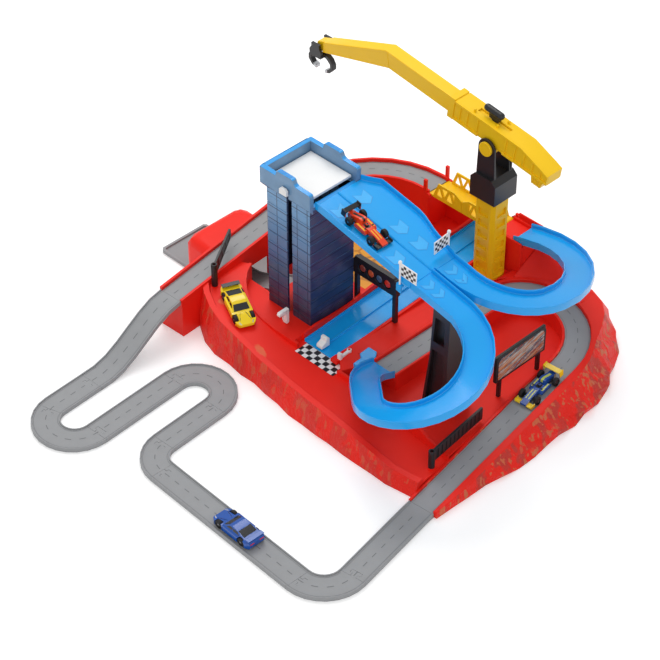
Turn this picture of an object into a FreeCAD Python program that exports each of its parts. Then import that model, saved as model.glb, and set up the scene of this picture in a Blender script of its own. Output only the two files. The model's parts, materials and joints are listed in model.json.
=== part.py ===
"""Toy race track playset: a red rocky base with sloping grey roads, a blue lift
tower and forked ramp, a yellow crane, a two-leaf bridge and flexible floor track.

The plan is laid out in millimetres: +X runs along the front of the base, +Y from
the front to the rear, +Z up.  At the end everything is shifted so that the origin
is the middle of the floor rectangle that the whole set covers.
"""

import FreeCAD, Part
import math
import os

import Sketcher

V = FreeCAD.Vector
doc = FreeCAD.newDocument("RaceTrack")

# Driving sizes, in millimetres and degrees
SIZES = [
    # roads moulded into the base
    ("road_width", 36.0), ("kerb_width", 4.0), ("kerb_height", 5.0), ("wall", 3.0),
    ("fit_gap", 0.3), ("shaft_gap", 0.08), ("road_sheet", 2.0),
    # high road: left ramp end, climb to the rear, and bend to the bridge
    ("high_start_x", -157.3), ("front_y", -158.0), ("high_heading", 92.6),
    ("high_straight", 294.0), ("high_bend_radius", 121.0), ("high_end_level", 62.0),
    ("high_level", 95.7), ("high_tail", 10.0),
    # loop road: level middle road, bend and descent to the front right corner
    ("middle_x", 150.0), ("middle_start_y", -44.6), ("middle_length", 222.6),
    ("loop_tight_radius", 55.0), ("loop_top", 8.0), ("loop_wide_radius", 97.0),
    ("loop_wide_angle", 84.4), ("road_end_step", 12.0), ("loop_level", 45.0),
    ("low_floor", 22.0), ("rear_floor", 30.0), ("shelf_level", 50.0), ("plate", 3.0),
    # front lane and deck
    ("deck_level", 44.0), ("deck_edge_y", -90.0), ("lane_bend_radius", 90.0),
    ("lane_bend_x", -46.0), ("lane_bend_angle", 68.0),
    ("lane_start_level", 66.0), ("lane_front_level", 36.0), ("lane_end_level", 15.0),
    ("rock_depth", 5.0),
    # drag strip
    ("strip_left_x", 22.0), ("strip_right_x", 80.0), ("strip_front_y", -72.0),
    ("strip_rear_y", 284.0), ("strip_low", 38.0), ("strip_high", 58.0),
    # tower and lift
    ("tower_x", -29.0), ("tower_y", -8.5), ("tower_side", 84.0), ("tower_height", 186.0),
    ("tower_wall", 2.6), ("course_count", 11.0), ("course_groove", 0.9),
    ("tower_corner", 8.0), ("parapet_side", 97.0), ("parapet_height", 46.0),
    ("parapet_step", 13.0), ("lift_slot_x", -27.0), ("lift_slot_width", 9.0),
    ("lift_plate", 4.0), ("lift_travel", 212.0),
    # blue ramp and branches
    ("lane_width", 42.0), ("rim_height", 8.0), ("rim_skirt", 5.0), ("rim_wall", 2.4),
    ("track_floor", 2.4), ("ramp_start_x", 19.8), ("ramp_top", 256.0),
    ("fork_x", 196.0), ("turn_level", 207.0), ("ramp_flare", 16.0),
    ("left_turn_x", 268.8), ("left_turn_radius", 70.9), ("left_turn_angle", 222.3),
    ("left_link", 63.2), ("left_final_radius", 74.2), ("left_final_angle", 47.7),
    ("right_turn_x", 222.0), ("right_turn_radius", 89.0), ("right_sweep_radius", 217.0),
    # bridge
    ("bridge_left_x", -40.0), ("bridge_right_x", 90.0), ("bridge_width", 42.0),
    ("truss_height", 24.0), ("bridge_pin_radius", 1.6),
    # crane
    ("crane_x", 103.0), ("crane_y", 217.0), ("column_side", 36.0),
    ("column_height", 138.0), ("flange_radius", 22.5), ("housing_height", 40.0),
    ("housing_width", 46.0), ("pivot_rise", 86.0), ("boom_width", 26.0),
    ("boom_height", 32.0), ("boom_tail", 105.0), ("boom_nose", 80.0),
    ("boom_lift", 20.0), ("boom_wall", 2.4), ("boom_tilt", 8.0),
    ("inner_reach", 124.0), ("tip_length", 148.0), ("tip_drop", 24.0), ("pivot_pin_radius", 5.0),
    ("inner_tail", 28.0), ("boom_travel", 25.0), ("handle_x", 8.0), ("handle_radius", 3.0),
    # flexible floor track
    ("flex_width", 40.0), ("flex_height", 7.0), ("flex_floor", 5.0), ("flex_rim", 1.6),
    ("flex_first_x", -148.0), ("slope_foot_y", -296.0), ("hairpin_radius", 41.0),
    ("first_run_y", -381.0), ("second_run_y", -236.0), ("corner_radius", 40.0),
    ("front_run_y", -362.0), ("flex_exit_heading", 99.0),
    # cars
    ("car_length", 74.0), ("car_width", 31.0), ("car_height", 19.0), ("wheelbase", 43.0),
    ("wheel_radius", 6.2), ("axle_radius", 1.0),
]

sheet = doc.addObject("Spreadsheet::Sheet", "Sizes")
for row, (alias, value) in enumerate(SIZES, start=1):
    sheet.set("A%d" % row, alias)
    sheet.set("B%d" % row, str(value))
    sheet.setAlias("B%d" % row, alias)
doc.recompute()


def size(alias):
    """The value of one named size."""
    return float(sheet.get(alias))


# Finished sub-parts, by the name of their node
PARTS = {}


# Sketch and body helpers

def origin_plane(body, role):
    return [feature for feature in body.Origin.OriginFeatures if feature.Role == role][0]


def new_body(name):
    body = doc.addObject("PartDesign::Body", name)
    body.Label = name
    PARTS[name] = body
    return body


def bind(target, prop, expression):
    """Give a property a number, or a formula that reads the sheet."""
    target.setExpression(prop, str(expression))


def new_sketch(body, role, offset="0"):
    sketch = body.newObject("Sketcher::SketchObject", "Sketch")
    sketch.AttachmentSupport = [(origin_plane(body, role), "")]
    sketch.MapMode = "FlatFace"
    bind(sketch, "AttachmentOffset.Base.z", offset)
    return sketch


def number(expression):
    """Evaluate a formula of sheet names to a plain number."""
    text = str(expression)
    if text not in number.seen:
        number.seen[text] = float(sheet.evalExpression(text))
    return number.seen[text]


number.seen = {}


def draw_polygon(sketch, corners):
    """A closed outline; each corner is a pair of formulas."""
    points = [V(number(x), number(y), 0) for x, y in corners]
    count = len(points)
    first = sketch.GeometryCount
    for i in range(count):
        sketch.addGeometry(Part.LineSegment(points[i], points[(i + 1) % count]), False)
    for i in range(count):
        edge = first + i
        following = first + (i + 1) % count
        sketch.addConstraint(Sketcher.Constraint("Coincident", edge, 2, following, 1))
    for i, (x, y) in enumerate(corners):
        for kind, formula in (("DistanceX", x), ("DistanceY", y)):
            place = sketch.addConstraint(
                Sketcher.Constraint(kind, -1, 1, first + i, 1, number(formula)))
            sketch.setExpression("Constraints[%d]" % place, str(formula))


def draw_circle(sketch, x, y, radius):
    centre = V(number(x), number(y), 0)
    index = sketch.addGeometry(Part.Circle(centre, V(0, 0, 1), number(radius)), False)
    rules = (("DistanceX", x), ("DistanceY", y))
    for kind, formula in rules:
        place = sketch.addConstraint(
            Sketcher.Constraint(kind, -1, 1, index, 3, number(formula)))
        sketch.setExpression("Constraints[%d]" % place, str(formula))
    place = sketch.addConstraint(Sketcher.Constraint("Radius", index, number(radius)))
    sketch.setExpression("Constraints[%d]" % place, str(radius))


def draw(sketch, outline):
    """An outline is a list of corners or a (x, y, radius) circle."""
    if isinstance(outline, list):
        draw_polygon(sketch, outline)
    else:
        draw_circle(sketch, *outline)


def pad(body, role, outlines, length, offset="0", taper="0"):
    """Raise outlines off an origin plane.  Several outlines share one sketch."""
    sketch = new_sketch(body, role, offset)
    for outline in outlines:
        draw(sketch, outline)
    feature = body.newObject("PartDesign::Pad", "Pad")
    feature.Profile = sketch
    bind(feature, "Length", length)
    if taper != "0":
        bind(feature, "TaperAngle", taper)
    doc.recompute()
    return feature


def pocket(body, role, outlines, length, offset="0"):
    """Cut outlines out of the body, away from the sketch plane's normal."""
    sketch = new_sketch(body, role, offset)
    for outline in outlines:
        draw(sketch, outline)
    before = body.Shape.Volume
    feature = body.newObject("PartDesign::Pocket", "Pocket")
    feature.Profile = sketch
    bind(feature, "Length", length)
    doc.recompute()
    if body.Shape.Volume > before - 1e-6:
        raise RuntimeError("%s: a pocket cuts nothing" % body.Label)
    return feature


def round_edges(body, radius, choose):
    """Fillet the edges of the body's tip that the test function picks."""
    names = []
    for i, edge in enumerate(body.Shape.Edges, start=1):
        if choose(edge):
            names.append("Edge%d" % i)
    base = body.Tip
    feature = body.newObject("PartDesign::Fillet", "Fillet")
    feature.Base = (base, names)
    bind(feature, "Radius", radius)
    doc.recompute()
    return feature


def upright(edge):
    """True for a straight edge that stands along Z."""
    if len(edge.Vertexes) != 2:
        return False
    a, b = edge.Vertexes[0].Point, edge.Vertexes[1].Point
    return abs(a.x - b.x) + abs(a.y - b.y) < 1e-4


def rectangle(x0, x1, y0, y1):
    return [(x0, y0), (x1, y0), (x1, y1), (x0, y1)]


def ring(x, y, radius, count):
    """A round outline drawn with a number of flats."""
    corners = []
    for i in range(count):
        turn = 360.0 * (i + 0.5) / count
        corners.append(("%s+%s*cos(%.3f)" % (x, radius, turn), "%s+%s*sin(%.3f)" % (y, radius, turn)))
    return corners


def solid_part(name, shape, place=None):
    """Keep a shape made with Part functions as a sub-part."""
    shape = shape.removeSplitter()
    if len(shape.Solids) == 1:
        shape = shape.Solids[0]
    feature = doc.addObject("Part::Feature", name)
    feature.Label = name
    feature.Shape = shape
    if place is not None:
        feature.Placement = place
    PARTS[name] = feature
    return feature


def box(x0, x1, y0, y1, z0, z1):
    return Part.makeBox(x1 - x0, y1 - y0, z1 - z0, V(x0, y0, z0))


# Paths: a plan line of straight and round runs, with a level along it

class Route:
    """A plan route from straights and bends, sampled at stations."""

    def __init__(self, x, y, heading, runs, turn_step=12.0):
        self.stations = []
        angle = math.radians(heading)
        distance = 0.0
        self.stations.append((x, y, angle, distance))
        for run in runs:
            if len(run) == 1:
                length = run[0]
                x += length * math.cos(angle)
                y += length * math.sin(angle)
                distance += length
                self.stations.append((x, y, angle, distance))
                continue
            radius, turn = run
            side = 1 if turn > 0 else -1
            steps = max(2, math.ceil(abs(turn) / turn_step))
            cx = x - side * radius * math.sin(angle)
            cy = y + side * radius * math.cos(angle)
            for _ in range(steps):
                angle += math.radians(turn) / steps
                distance += math.radians(abs(turn)) * radius / steps
                x = cx + side * radius * math.sin(angle)
                y = cy - side * radius * math.cos(angle)
                self.stations.append((x, y, angle, distance))
        self.length = distance

    def refine(self, spacing):
        """Add stations so that none are further apart than the spacing."""
        dense = [self.stations[0]]
        for a, b in zip(self.stations, self.stations[1:]):
            count = max(1, math.ceil((b[3] - a[3]) / spacing))
            for k in range(1, count + 1):
                t = k / count
                dense.append(tuple(p + (q - p) * t for p, q in zip(a, b)))
        self.stations = dense
        return self

    def end(self):
        return self.stations[-1]


def levels(*pairs):
    """Level along a route, straight between the given (distance, level) pairs."""
    def level(distance):
        for (s0, z0), (s1, z1) in zip(pairs, pairs[1:]):
            if distance <= s1 or (s1, z1) == pairs[-1]:
                t = (distance - s0) / (s1 - s0)
                return z0 + (z1 - z0) * min(max(t, 0.0), 1.0)
        return pairs[-1][1]
    return level


def eased(*pairs):
    """Like levels, but each step starts and ends softly."""
    def level(distance):
        for (s0, z0), (s1, z1) in zip(pairs, pairs[1:]):
            if distance <= s1 or (s1, z1) == pairs[-1]:
                t = min(max((distance - s0) / (s1 - s0), 0.0), 1.0)
                return z0 + (z1 - z0) * t * t * (3 - 2 * t)
        return pairs[-1][1]
    return level


def flat_face(corners):
    return Part.Face(Part.makePolygon(corners + [corners[0]]))


def patch(a, b, c, d):
    """One flat face through four corners, or two where they don't lie flat."""
    normal = (b - a).cross(c - a)
    if normal.Length < 1e-7:
        return [flat_face([a, c, d])]
    if (c - b).cross(d - b).Length < 1e-7:
        return [flat_face([a, b, d])]
    if abs((d - a).dot(normal)) / normal.Length > 1e-6:
        return [flat_face([a, b, c]), flat_face([a, c, d])]
    return [flat_face([a, b, c, d])]


def skin(rows):
    """A solid with flat faces through rows of points, closed at both ends."""
    faces = [flat_face(rows[0]), flat_face(rows[-1])]
    for near, far in zip(rows, rows[1:]):
        for i in range(len(near)):
            j = (i + 1) % len(near)
            faces += patch(near[i], near[j], far[j], far[i])
    shell = Part.Compound(faces)
    shell.sewShape()
    solid = Part.Solid(shell.Shells[0])
    if solid.Volume < 0:
        solid.reverse()
    return solid.removeSplitter()


def moulding(route, section, start=None, stop=None):
    """Carry a section of (side offset, level) points along a route."""
    rows = []
    for x, y, angle, s in route.stations:
        if start is not None and s < start - 1e-6:
            continue
        if stop is not None and s > stop + 1e-6:
            continue
        points = []
        for side, level in section(s):
            points.append(V(x - side * math.sin(angle), y + side * math.cos(angle), level))
        rows.append(points)
    return skin(rows)


HALF_ROAD = size("road_width") / 2
KERB = size("kerb_width")
SHEET = size("road_sheet")
WALL = size("wall")
GAP = size("fit_gap")


def rocky(s, seed):
    """Uneven depth of the moulded rock at one station."""
    wave = math.sin(s * 0.113 + seed) + 0.6 * math.sin(s * 0.291 + 2.1 * seed)
    return size("rock_depth") * wave / 1.6


# High road: along the left side, round the rear left corner, to the bridge

high_bend = size("high_heading")
high = Route(size("high_start_x"), size("front_y"), size("high_heading"), [
    (WALL,), (size("high_straight") - WALL,), (size("high_bend_radius"), -high_bend),
    (size("high_tail") - WALL,), (WALL,),
]).refine(32.0)
bridge_y = high.end()[1]
high_level = levels((0, size("high_end_level")), (size("high_straight"), size("high_level")),
                    (high.length, size("high_level")))


def high_filled(s):
    z = high_level(s)
    out = HALF_ROAD + KERB
    foot = eased((60, 0.0), (150, 10.0), (high.length - 40, 10.0), (high.length, 4.0))(s)
    return [
        (out + foot + rocky(s, 1.0) * foot / 20, 0),
        (out + foot * 0.7 + rocky(s, 2.6) * foot / 12, z * 0.45),
        (out + foot * 0.25 + rocky(s, 4.0) * foot / 20, z * 0.85),
        (out, z + size("kerb_height")),
        (HALF_ROAD, z + size("kerb_height")),
        (HALF_ROAD, z - SHEET),
        (-HALF_ROAD, z - SHEET),
        (-HALF_ROAD, z + size("kerb_height") * 0.6),
        (-out, z + size("kerb_height") * 0.6),
        (-out, 0),
    ]


def high_shell(s):
    z = high_level(s)
    out = HALF_ROAD + KERB
    outer = high_filled(s)
    return outer + [
        (-out + WALL, 0),
        (-out + WALL, z - SHEET - WALL),
        (out - WALL, z - SHEET - WALL),
        (outer[1][0] - WALL, outer[1][1]),
        (outer[0][0] - WALL, 0),
    ]


high_solid = moulding(high, high_filled)
high_wall = moulding(high, high_shell)

# Loop road: middle road, bend behind the billboard, and descent to the front right corner

wide_angle = math.radians(size("loop_wide_angle"))
wide_end_y = (size("middle_start_y") + size("middle_length") + size("loop_tight_radius")
              - size("loop_wide_radius") * (1 - math.cos(wide_angle)))
descent_length = (wide_end_y - size("front_y") + size("road_end_step")) / math.sin(wide_angle)
loop = Route(size("middle_x"), size("middle_start_y"), 90.0, [
    (WALL,), (size("middle_length") - WALL,), (size("loop_tight_radius"), -90.0),
    (size("loop_top"),), (size("loop_wide_radius"), -size("loop_wide_angle")),
    (descent_length - WALL,), (WALL,),
]).refine(30.0)

# Front lane: from the high road round the front left corner, along the front

lane_bend = size("lane_bend_angle")
lane_r = size("lane_bend_radius")
lane_start = math.radians(-90 - lane_bend)
lane_run = loop.end()[0] - 14.5 - size("lane_bend_x")
front_reach = size("deck_edge_y") - size("front_y") - 7.0
lane = Route(size("lane_bend_x") + lane_r * math.cos(lane_start),
             size("deck_edge_y") + lane_r + lane_r * math.sin(lane_start),
             -lane_bend, [(lane_r, lane_bend), (lane_run,)]).refine(28.0)
bend_end = math.radians(lane_bend) * lane_r
lane_level = eased((0, size("lane_start_level")), (bend_end + 66, size("lane_front_level")),
                   (bend_end + 160, size("lane_front_level")), (lane.length, size("lane_end_level")))
lane_reach = eased((0, front_reach - 9), (bend_end, front_reach - 15), (bend_end + 190, front_reach),
                   (lane.length - 50, front_reach + 1), (lane.length, front_reach - 9))


inner_wall = eased((bend_end + 300, size("deck_level")), (bend_end + 330, size("low_floor") + 2))


def lane_inner_level(s):
    return max(lane_level(s) + 2.0, inner_wall(s))


def lane_filled(s):
    z = lane_level(s)
    reach = lane_reach(s)
    rim = 8.0
    top = z + 7.0
    foot = 9.0
    return [
        (WALL + 1, 0),
        (WALL + 1, lane_inner_level(s)),
        (0, lane_inner_level(s)),
        (0, z),
        (-reach + 2.6, z),
        (-reach, top),
        (-reach - rim, top - 1.0),
        (-reach - rim - foot * 0.3 + rocky(s, 0.4) * 0.25, top * 0.72),
        (-reach - rim - foot * 0.75 + rocky(s, 3.3) * 0.5, top * 0.36),
        (-reach - rim - foot + rocky(s, 1.9) * 0.4, 0),
    ]


def lane_shell(s):
    z = lane_level(s)
    reach = lane_reach(s)
    outer = lane_filled(s)
    return outer + [
        (outer[-1][0] + WALL, 0),
        (outer[-2][0] + WALL + 1, outer[-2][1]),
        (-reach - 4, z - WALL),
        (-WALL, z - WALL),
        (1, z - WALL),
        (1, 0),
    ]


# Levels and sides of the loop road

tight_end = size("middle_length") + math.radians(90) * size("loop_tight_radius")
wide_end = tight_end + size("loop_top") + math.radians(size("loop_wide_angle")) * size("loop_wide_radius")
loop_level = levels((0, size("loop_level") + 2), (size("middle_length"), size("loop_level")),
                    (wide_end - 70, size("loop_level")), (loop.length, size("flex_floor")))
loop_margin = eased((tight_end - 70, 4.0), (tight_end + 30, 36.0), (tight_end + 108, 7.0),
                    (wide_end + 20, 12.0), (loop.length - 60, 11.0), (loop.length, 6.0))
loop_foot = eased((tight_end, 0.0), (tight_end + 60, 24.0), (wide_end, 30.0),
                  (wide_end + 160, 24.0), (wide_end + 250, 4.0), (loop.length, 1.0))
loop_bank = eased((wide_end - 60, 0.0), (wide_end + 40, 8.0), (loop.length, 0.0))


def loop_filled(s):
    z = loop_level(s)
    top = z + size("kerb_height")
    foot = loop_foot(s)
    share = foot / 26.0
    edge = HALF_ROAD + loop_margin(s)
    inner_top = z + size("kerb_height") * 0.5
    return [
        (edge + foot + rocky(s, 0.9) * share, 0),
        (edge + foot * 0.86 + rocky(s, 2.2) * share * 1.4, top * 0.3),
        (edge + foot * 0.42 + rocky(s, 5.1) * share * 1.4, top * 0.62),
        (edge, top),
        (HALF_ROAD, top),
        (HALF_ROAD, z - SHEET),
        (-HALF_ROAD, z - SHEET),
        (-HALF_ROAD, inner_top),
        (-HALF_ROAD - KERB, inner_top),
        (-HALF_ROAD - KERB - loop_bank(s), 0),
    ]


def loop_shell(s):
    z = loop_level(s)
    outer = loop_filled(s)
    lid = max(z - SHEET - WALL, 1.2)
    return outer + [
        (outer[-1][0] + WALL, 0),
        (-HALF_ROAD - KERB + WALL, lid),
        (HALF_ROAD, lid),
        (outer[2][0] - WALL - 1, min(outer[2][1], lid)),
        (outer[0][0] - WALL - 1, 0),
    ]


def grey(route, level, start=None, stop=None):
    """A road sheet that lies in the trough of a moulded route."""
    side = HALF_ROAD - 0.15

    def section(s):
        z = level(s)
        return [(side, z - SHEET + 0.04), (side, z), (-side, z), (-side, z - SHEET + 0.04)]
    return moulding(route, section, start, stop)


def prism(points, z0, z1):
    wire = Part.makePolygon([V(x, y, z0) for x, y in points + [points[0]]])
    return Part.Face(wire).extrude(V(0, 0, z1 - z0))


def eye(x, y, z, length, radius):
    """A twelve sided bar along Y."""
    outline = []
    for i in range(12):
        turn = math.radians(30 * i + 15)
        outline.append(V(x + radius * math.cos(turn), y, z + radius * math.sin(turn)))
    return flat_face(outline).extrude(V(0, length, 0))


def cylinder(x, y, z0, z1, radius):
    return Part.makeCylinder(radius, z1 - z0, V(x, y, z0))


# Red base mouldings


def clearing(route, left, right):
    """Everything over a strip of a route, from the floor up."""
    return moulding(route, lambda s: [(left(s), -1), (left(s), 150), (right(s), 150), (right(s), -1)])


road_edge = HALF_ROAD + KERB
high_clear = clearing(high, lambda s: 75.0, lambda s: -road_edge)
high_over = clearing(high, lambda s: road_edge, lambda s: -road_edge)
loop_clear = clearing(loop, lambda s: HALF_ROAD + loop_margin(s) + 30, lambda s: -road_edge)
lane_clear = clearing(lane, lambda s: WALL + 1, lambda s: -lane_reach(s) - 20)
loop_solid = moulding(loop, loop_filled)
loop_wall = moulding(loop, loop_shell)
loop_wall = loop_wall.fuse([
    moulding(loop, loop_filled, stop=WALL),
    moulding(loop, loop_filled, start=loop.length - WALL),
])
lane_solid = moulding(lane, lane_filled)
lane_wall = moulding(lane, lane_shell)

deck = size("deck_level")
plate = size("plate")
bridge_left = size("bridge_left_x")
bridge_right = size("bridge_right_x")
half_bridge = size("bridge_width") / 2
road_top = size("high_level")
axis_z = road_top - 3.0
pin_r = size("bridge_pin_radius")


def bridge_lugs(x_face, direction):
    """Two lugs that carry one leaf's hinge pin."""
    axis_x = x_face + direction * 3.5
    lugs = []
    for side in (-1, 1):
        y0 = bridge_y + side * (half_bridge + 0.3)
        y1 = bridge_y + side * (half_bridge + 4.3)
        x0, x1 = sorted((x_face - direction * 6, axis_x))
        arm = box(x0, x1, min(y0, y1), max(y0, y1), axis_z - 3.4, axis_z + 3.4)
        knuckle = eye(axis_x, min(y0, y1), axis_z, 4.0, 3.4)
        post = box(*sorted((x_face - direction * 6, x_face - direction * 1)),
                   min(y0, y1), max(y0, y1), axis_z - 3.4, road_top + 22)
        stub_y = bridge_y + side * (half_bridge + 0.3) - (7 if side > 0 else 1)
        stub = Part.makeCylinder(pin_r, 8.0, V(axis_x, stub_y, axis_z), V(0, 1, 0))
        lugs += [arm, knuckle, post, stub]
    return lugs


# Rear road wall: the high road with its ramp end, the bulge and the tunnel mouth
bulge_back, bulge_front = -232.0, -172.0
flap_y = -8.0
flap_axis_x = bulge_back - 4.5
flap_axis_z = 4.2


def rounded_block(x0, x1, y0, y1, corner, rows):
    """A block whose corners and top edges fall away in flats, from (level, inset) rows."""
    outlines = []
    for z, inset in rows:
        a, b, c, d = x0 + inset, x1, y0 + inset, y1 - inset
        outlines.append([V(b, c, z), V(b, d, z), V(a + corner, d, z), V(a + corner * 0.3, d - corner * 0.3, z),
                         V(a, d - corner, z), V(a, c + corner, z), V(a + corner * 0.3, c + corner * 0.3, z),
                         V(a + corner, c, z)])
    return skin(outlines)


bulge = rounded_block(bulge_back, bulge_front, -66, 46, 13, [(0, 0), (65, 0), (73, 3.5), (77, 9), (78, 15)])
hollow = rounded_block(bulge_back + WALL, bulge_front + 1, -63, 43, 11, [(-1, 0), (63, 0), (72, 5), (75, 13)])
bulge = bulge.cut(hollow).cut([high_solid, high_over])
flap_lugs = []
for side in (-1, 1):
    lug_y = flap_y + side * 37 - 2
    flap_lugs.append(box(flap_axis_x, bulge_back + 1, lug_y, lug_y + 4, 1, 7.4))
    flap_lugs.append(eye(flap_axis_x, lug_y, flap_axis_z, 4, 3.2))
    stub_y = flap_y + side * 37 - (5 if side > 0 else -1)
    flap_lugs.append(Part.makeCylinder(1.6, 4, V(flap_axis_x, stub_y, flap_axis_z), V(0, 1, 0)))
tunnel_y0, tunnel_y1 = -32.0, 16.0
rear_wall = high_wall.fuse([moulding(high, high_filled, stop=WALL),
                            moulding(high, high_filled, start=high.length - WALL),
                            bulge] + flap_lugs + bridge_lugs(bridge_left, 1))
rear_wall = rear_wall.cut(box(bulge_back - 5, -130, tunnel_y0, tunnel_y1, -1, 46))
gate_x, gate_y, gate_z = -131.5, -98.0, 62.0
barrier_z = 18.6
solid_part("rear_road_wall", rear_wall)

# Front lane with its rocky front
lane_body = lane_wall.cut([high_clear, loop_clear, loop_solid, box(26, 104, -91, -84, 36, 60),
                           cylinder(gate_x, gate_y, gate_z, gate_z + 60, 5.4)])
barrier_x, barrier_y = loop.end()[0] - 34.5, size("front_y") + 42.0
lane_body = lane_body.fuse([
    cylinder(gate_x, gate_y, 50, gate_z, 5), cylinder(gate_x, gate_y, gate_z - 1, gate_z + 34, 2.4),
    cylinder(barrier_x, barrier_y, 10, barrier_z, 5),
    cylinder(barrier_x, barrier_y, barrier_z - 1, barrier_z + 24, 2.4)])
solid_part("front_lane", lane_body)

# Right road bank
solid_part("right_road_bank", loop_wall)

# Strip trough
strip_x = (size("strip_left_x") + size("strip_right_x")) / 2
half_strip = (size("strip_right_x") - size("strip_left_x")) / 2
strip = Route(strip_x, size("strip_front_y"), 90.0,
              [(size("strip_rear_y") - size("strip_front_y"),)]).refine(24.0)
strip_level = levels((0, size("strip_low")), (strip.length, size("strip_high")))
strip_sheet = 2.6


def trough_filled(s):
    z = strip_level(s) - strip_sheet
    wave = 3.0 * math.sin(s * 0.052 + 0.6)
    left = max(deck, z + 12 + wave)
    right = max(deck, z + 5)
    return [
        (half_strip + 4, 0), (half_strip + 4, left), (half_strip, left), (half_strip, z),
        (-half_strip, z), (-half_strip, right), (-half_strip - 4, right), (-half_strip - 4, 0),
    ]


def trough_shell(s):
    z = strip_level(s) - strip_sheet
    outer = trough_filled(s)
    return outer + [
        (-half_strip - 4 + WALL, 0), (-half_strip - 4 + WALL, z - WALL),
        (half_strip + 4 - WALL, z - WALL), (half_strip + 4 - WALL, 0),
    ]


trough_solid = moulding(strip, trough_filled)
trough = moulding(strip, trough_shell)

# Deck: plates at several levels with walls under them
ribbons = [high_clear, lane_clear, loop_clear, loop_solid, trough_solid]
left_edge = size("strip_left_x") - 4
right_edge = size("strip_right_x") + 4
high_line = [(x, y) for x, y, a, s in high.stations if y > -100]
loop_line = [(x, y) for x, y, a, s in loop.stations if y > -92]
rear_y = size("strip_rear_y")
left_plan = high_line + [(bridge_left, rear_y), (left_edge, rear_y), (left_edge, -92), (-140, -92)]
low_plan = loop_line + [(loop_line[-1][0], -92), (right_edge, -92)]
deck_plan = [(right_edge, -68), (92, -72), (108, -87), (114, -74), (131, -36), (131, 240),
             (right_edge, 240)]
pit = box(-150, -76, -38, 30, -1, 100)
slab = prism(left_plan, deck - plate, deck).common(box(-300, 30, -100, 62, 0, 99)).cut(pit)
rear_slab = prism(left_plan, size("rear_floor") - plate, size("rear_floor"))
rear_slab = rear_slab.common(box(-300, 30, 62, 400, 0, 99))
low_slab = prism(low_plan, size("low_floor") - plate, size("low_floor")).cut(prism(deck_plan, 0, 99))
block = prism(deck_plan, 0, deck)
block = block.cut(prism([(right_edge + 3, -66), (92, -69), (106, -82), (111.5, -73), (128, -35.5),
                         (128, 237), (right_edge + 3, 237)], -1, deck - plate))
shelf = prism([(140, 232), (222, 232), (222, 286), (140, 289)], 0, size("shelf_level"))
shelf = shelf.cut(prism([(143, 200), (222, 200), (222, 283), (143, 286)], -1, size("shelf_level") - plate))
ledge = prism([(left_edge, -86), (106, -86), (91, -72), (left_edge, -72)], 33, 36)
walls = [
    box(-150, -73, -41, -38, 0, deck - plate), box(-150, -73, 30, 33, 0, deck - plate),
    box(-76, -73, -38, 30, 0, deck - plate), box(-200, left_edge, 59, 62, 0, deck - plate),
    box(-120, -84, 59, 62, size("rear_floor"), deck - plate),
    box(bridge_left, left_edge, rear_y - WALL, rear_y, 0, size("rear_floor") + 30),
]
support = walls[0].fuse(walls[1:])
arch = box(-106, -88, -45, -30, -1, 26).fuse(
    Part.makeCylinder(9, 20, V(-97, -48, 26), V(0, 1, 0)))
support = support.cut([arch, box(-80, -70, tunnel_y0, tunnel_y1, -1, deck + 1)])
support = support.common(prism(left_plan, -1, 200))
posts = [cylinder(-24, -66, deck - 1, deck + 5, 1.6), cylinder(88, -50, deck - 1, deck + 5, 1.6)]
deck_body = slab.fuse([rear_slab, low_slab, block, shelf, support, ledge, posts[0], posts[1]])
deck_body = deck_body.cut(ribbons).fuse(trough.cut([lane_clear]))
# Blue ramp from the tower: routes and levels of the deck and its two branches

LANE = size("lane_width") / 2
RIM_H = size("rim_height")
SKIRT = size("rim_skirt")
RW = size("rim_wall")
FLOOR = size("track_floor")
fork_x = size("fork_x")
ramp_x = size("ramp_start_x")
left_y = -27.0
right_y = 17.0
ramp_mid = (left_y + right_y) / 2


def ramp_z(x):
    """Level of the ramp above a place on the X axis."""
    share = (x - ramp_x) / (size("left_turn_x") - ramp_x)
    return size("ramp_top") + (size("turn_level") - size("ramp_top")) * share


def hooked(edge, z, side):
    """Rim of the blue track: up, over and down, seen from the track's inside."""
    return [(side * (edge - RW), z), (side * (edge - RW), z + RIM_H - 2), (side * (edge - RW + 1.6), z + RIM_H),
            (side * edge, z + RIM_H - 1.6), (side * edge, z - SKIRT)]


left_route = Route(fork_x + 0.2, left_y, 0.0, [
    (size("left_turn_x") - fork_x - 0.2,), (size("left_turn_radius"), -size("left_turn_angle")),
    (size("left_link"),), (size("left_final_radius"), -size("left_final_angle")), (8.0,),
], turn_step=12.5).refine(24.0)
straight = size("left_turn_x") - fork_x - 0.2
left_level = levels((0, ramp_z(fork_x)), (straight, size("turn_level")),
                    (left_route.length, size("loop_level") + 2.4 + 2.2))
sweep_y = right_y + size("right_turn_radius")
right_turn_x = size("right_turn_x")
second_radius = 152.8
mid_x = right_turn_x + size("right_turn_radius") - second_radius * 0.5
mid_y = sweep_y + second_radius * math.sin(math.radians(60))
third_radius = (bridge_y - mid_y) / (1 - math.cos(math.radians(30)))
third_end = mid_x - third_radius * 0.5
right_end = 124.0
right_route = Route(fork_x + 0.2, right_y, 0.0, [
    (right_turn_x - fork_x - 0.2,), (size("right_turn_radius"), 90.0), (second_radius, 60.0),
    (third_radius, 30.0), (third_end - right_end,),
], turn_step=12.5).refine(24.0)
right_level = levels((0, ramp_z(fork_x)), (right_turn_x - fork_x, ramp_z(right_turn_x)),
                     (right_route.length, road_top + 2.4 + 0.1))


right_clear = moulding(right_route, lambda s: [
    (LANE + 0.1, right_level(s) - SKIRT - 0.1), (LANE + 0.1, right_level(s) + 30),
    (-LANE - 0.1, right_level(s) + 30), (-LANE - 0.1, right_level(s) - SKIRT - 0.1)])
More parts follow.
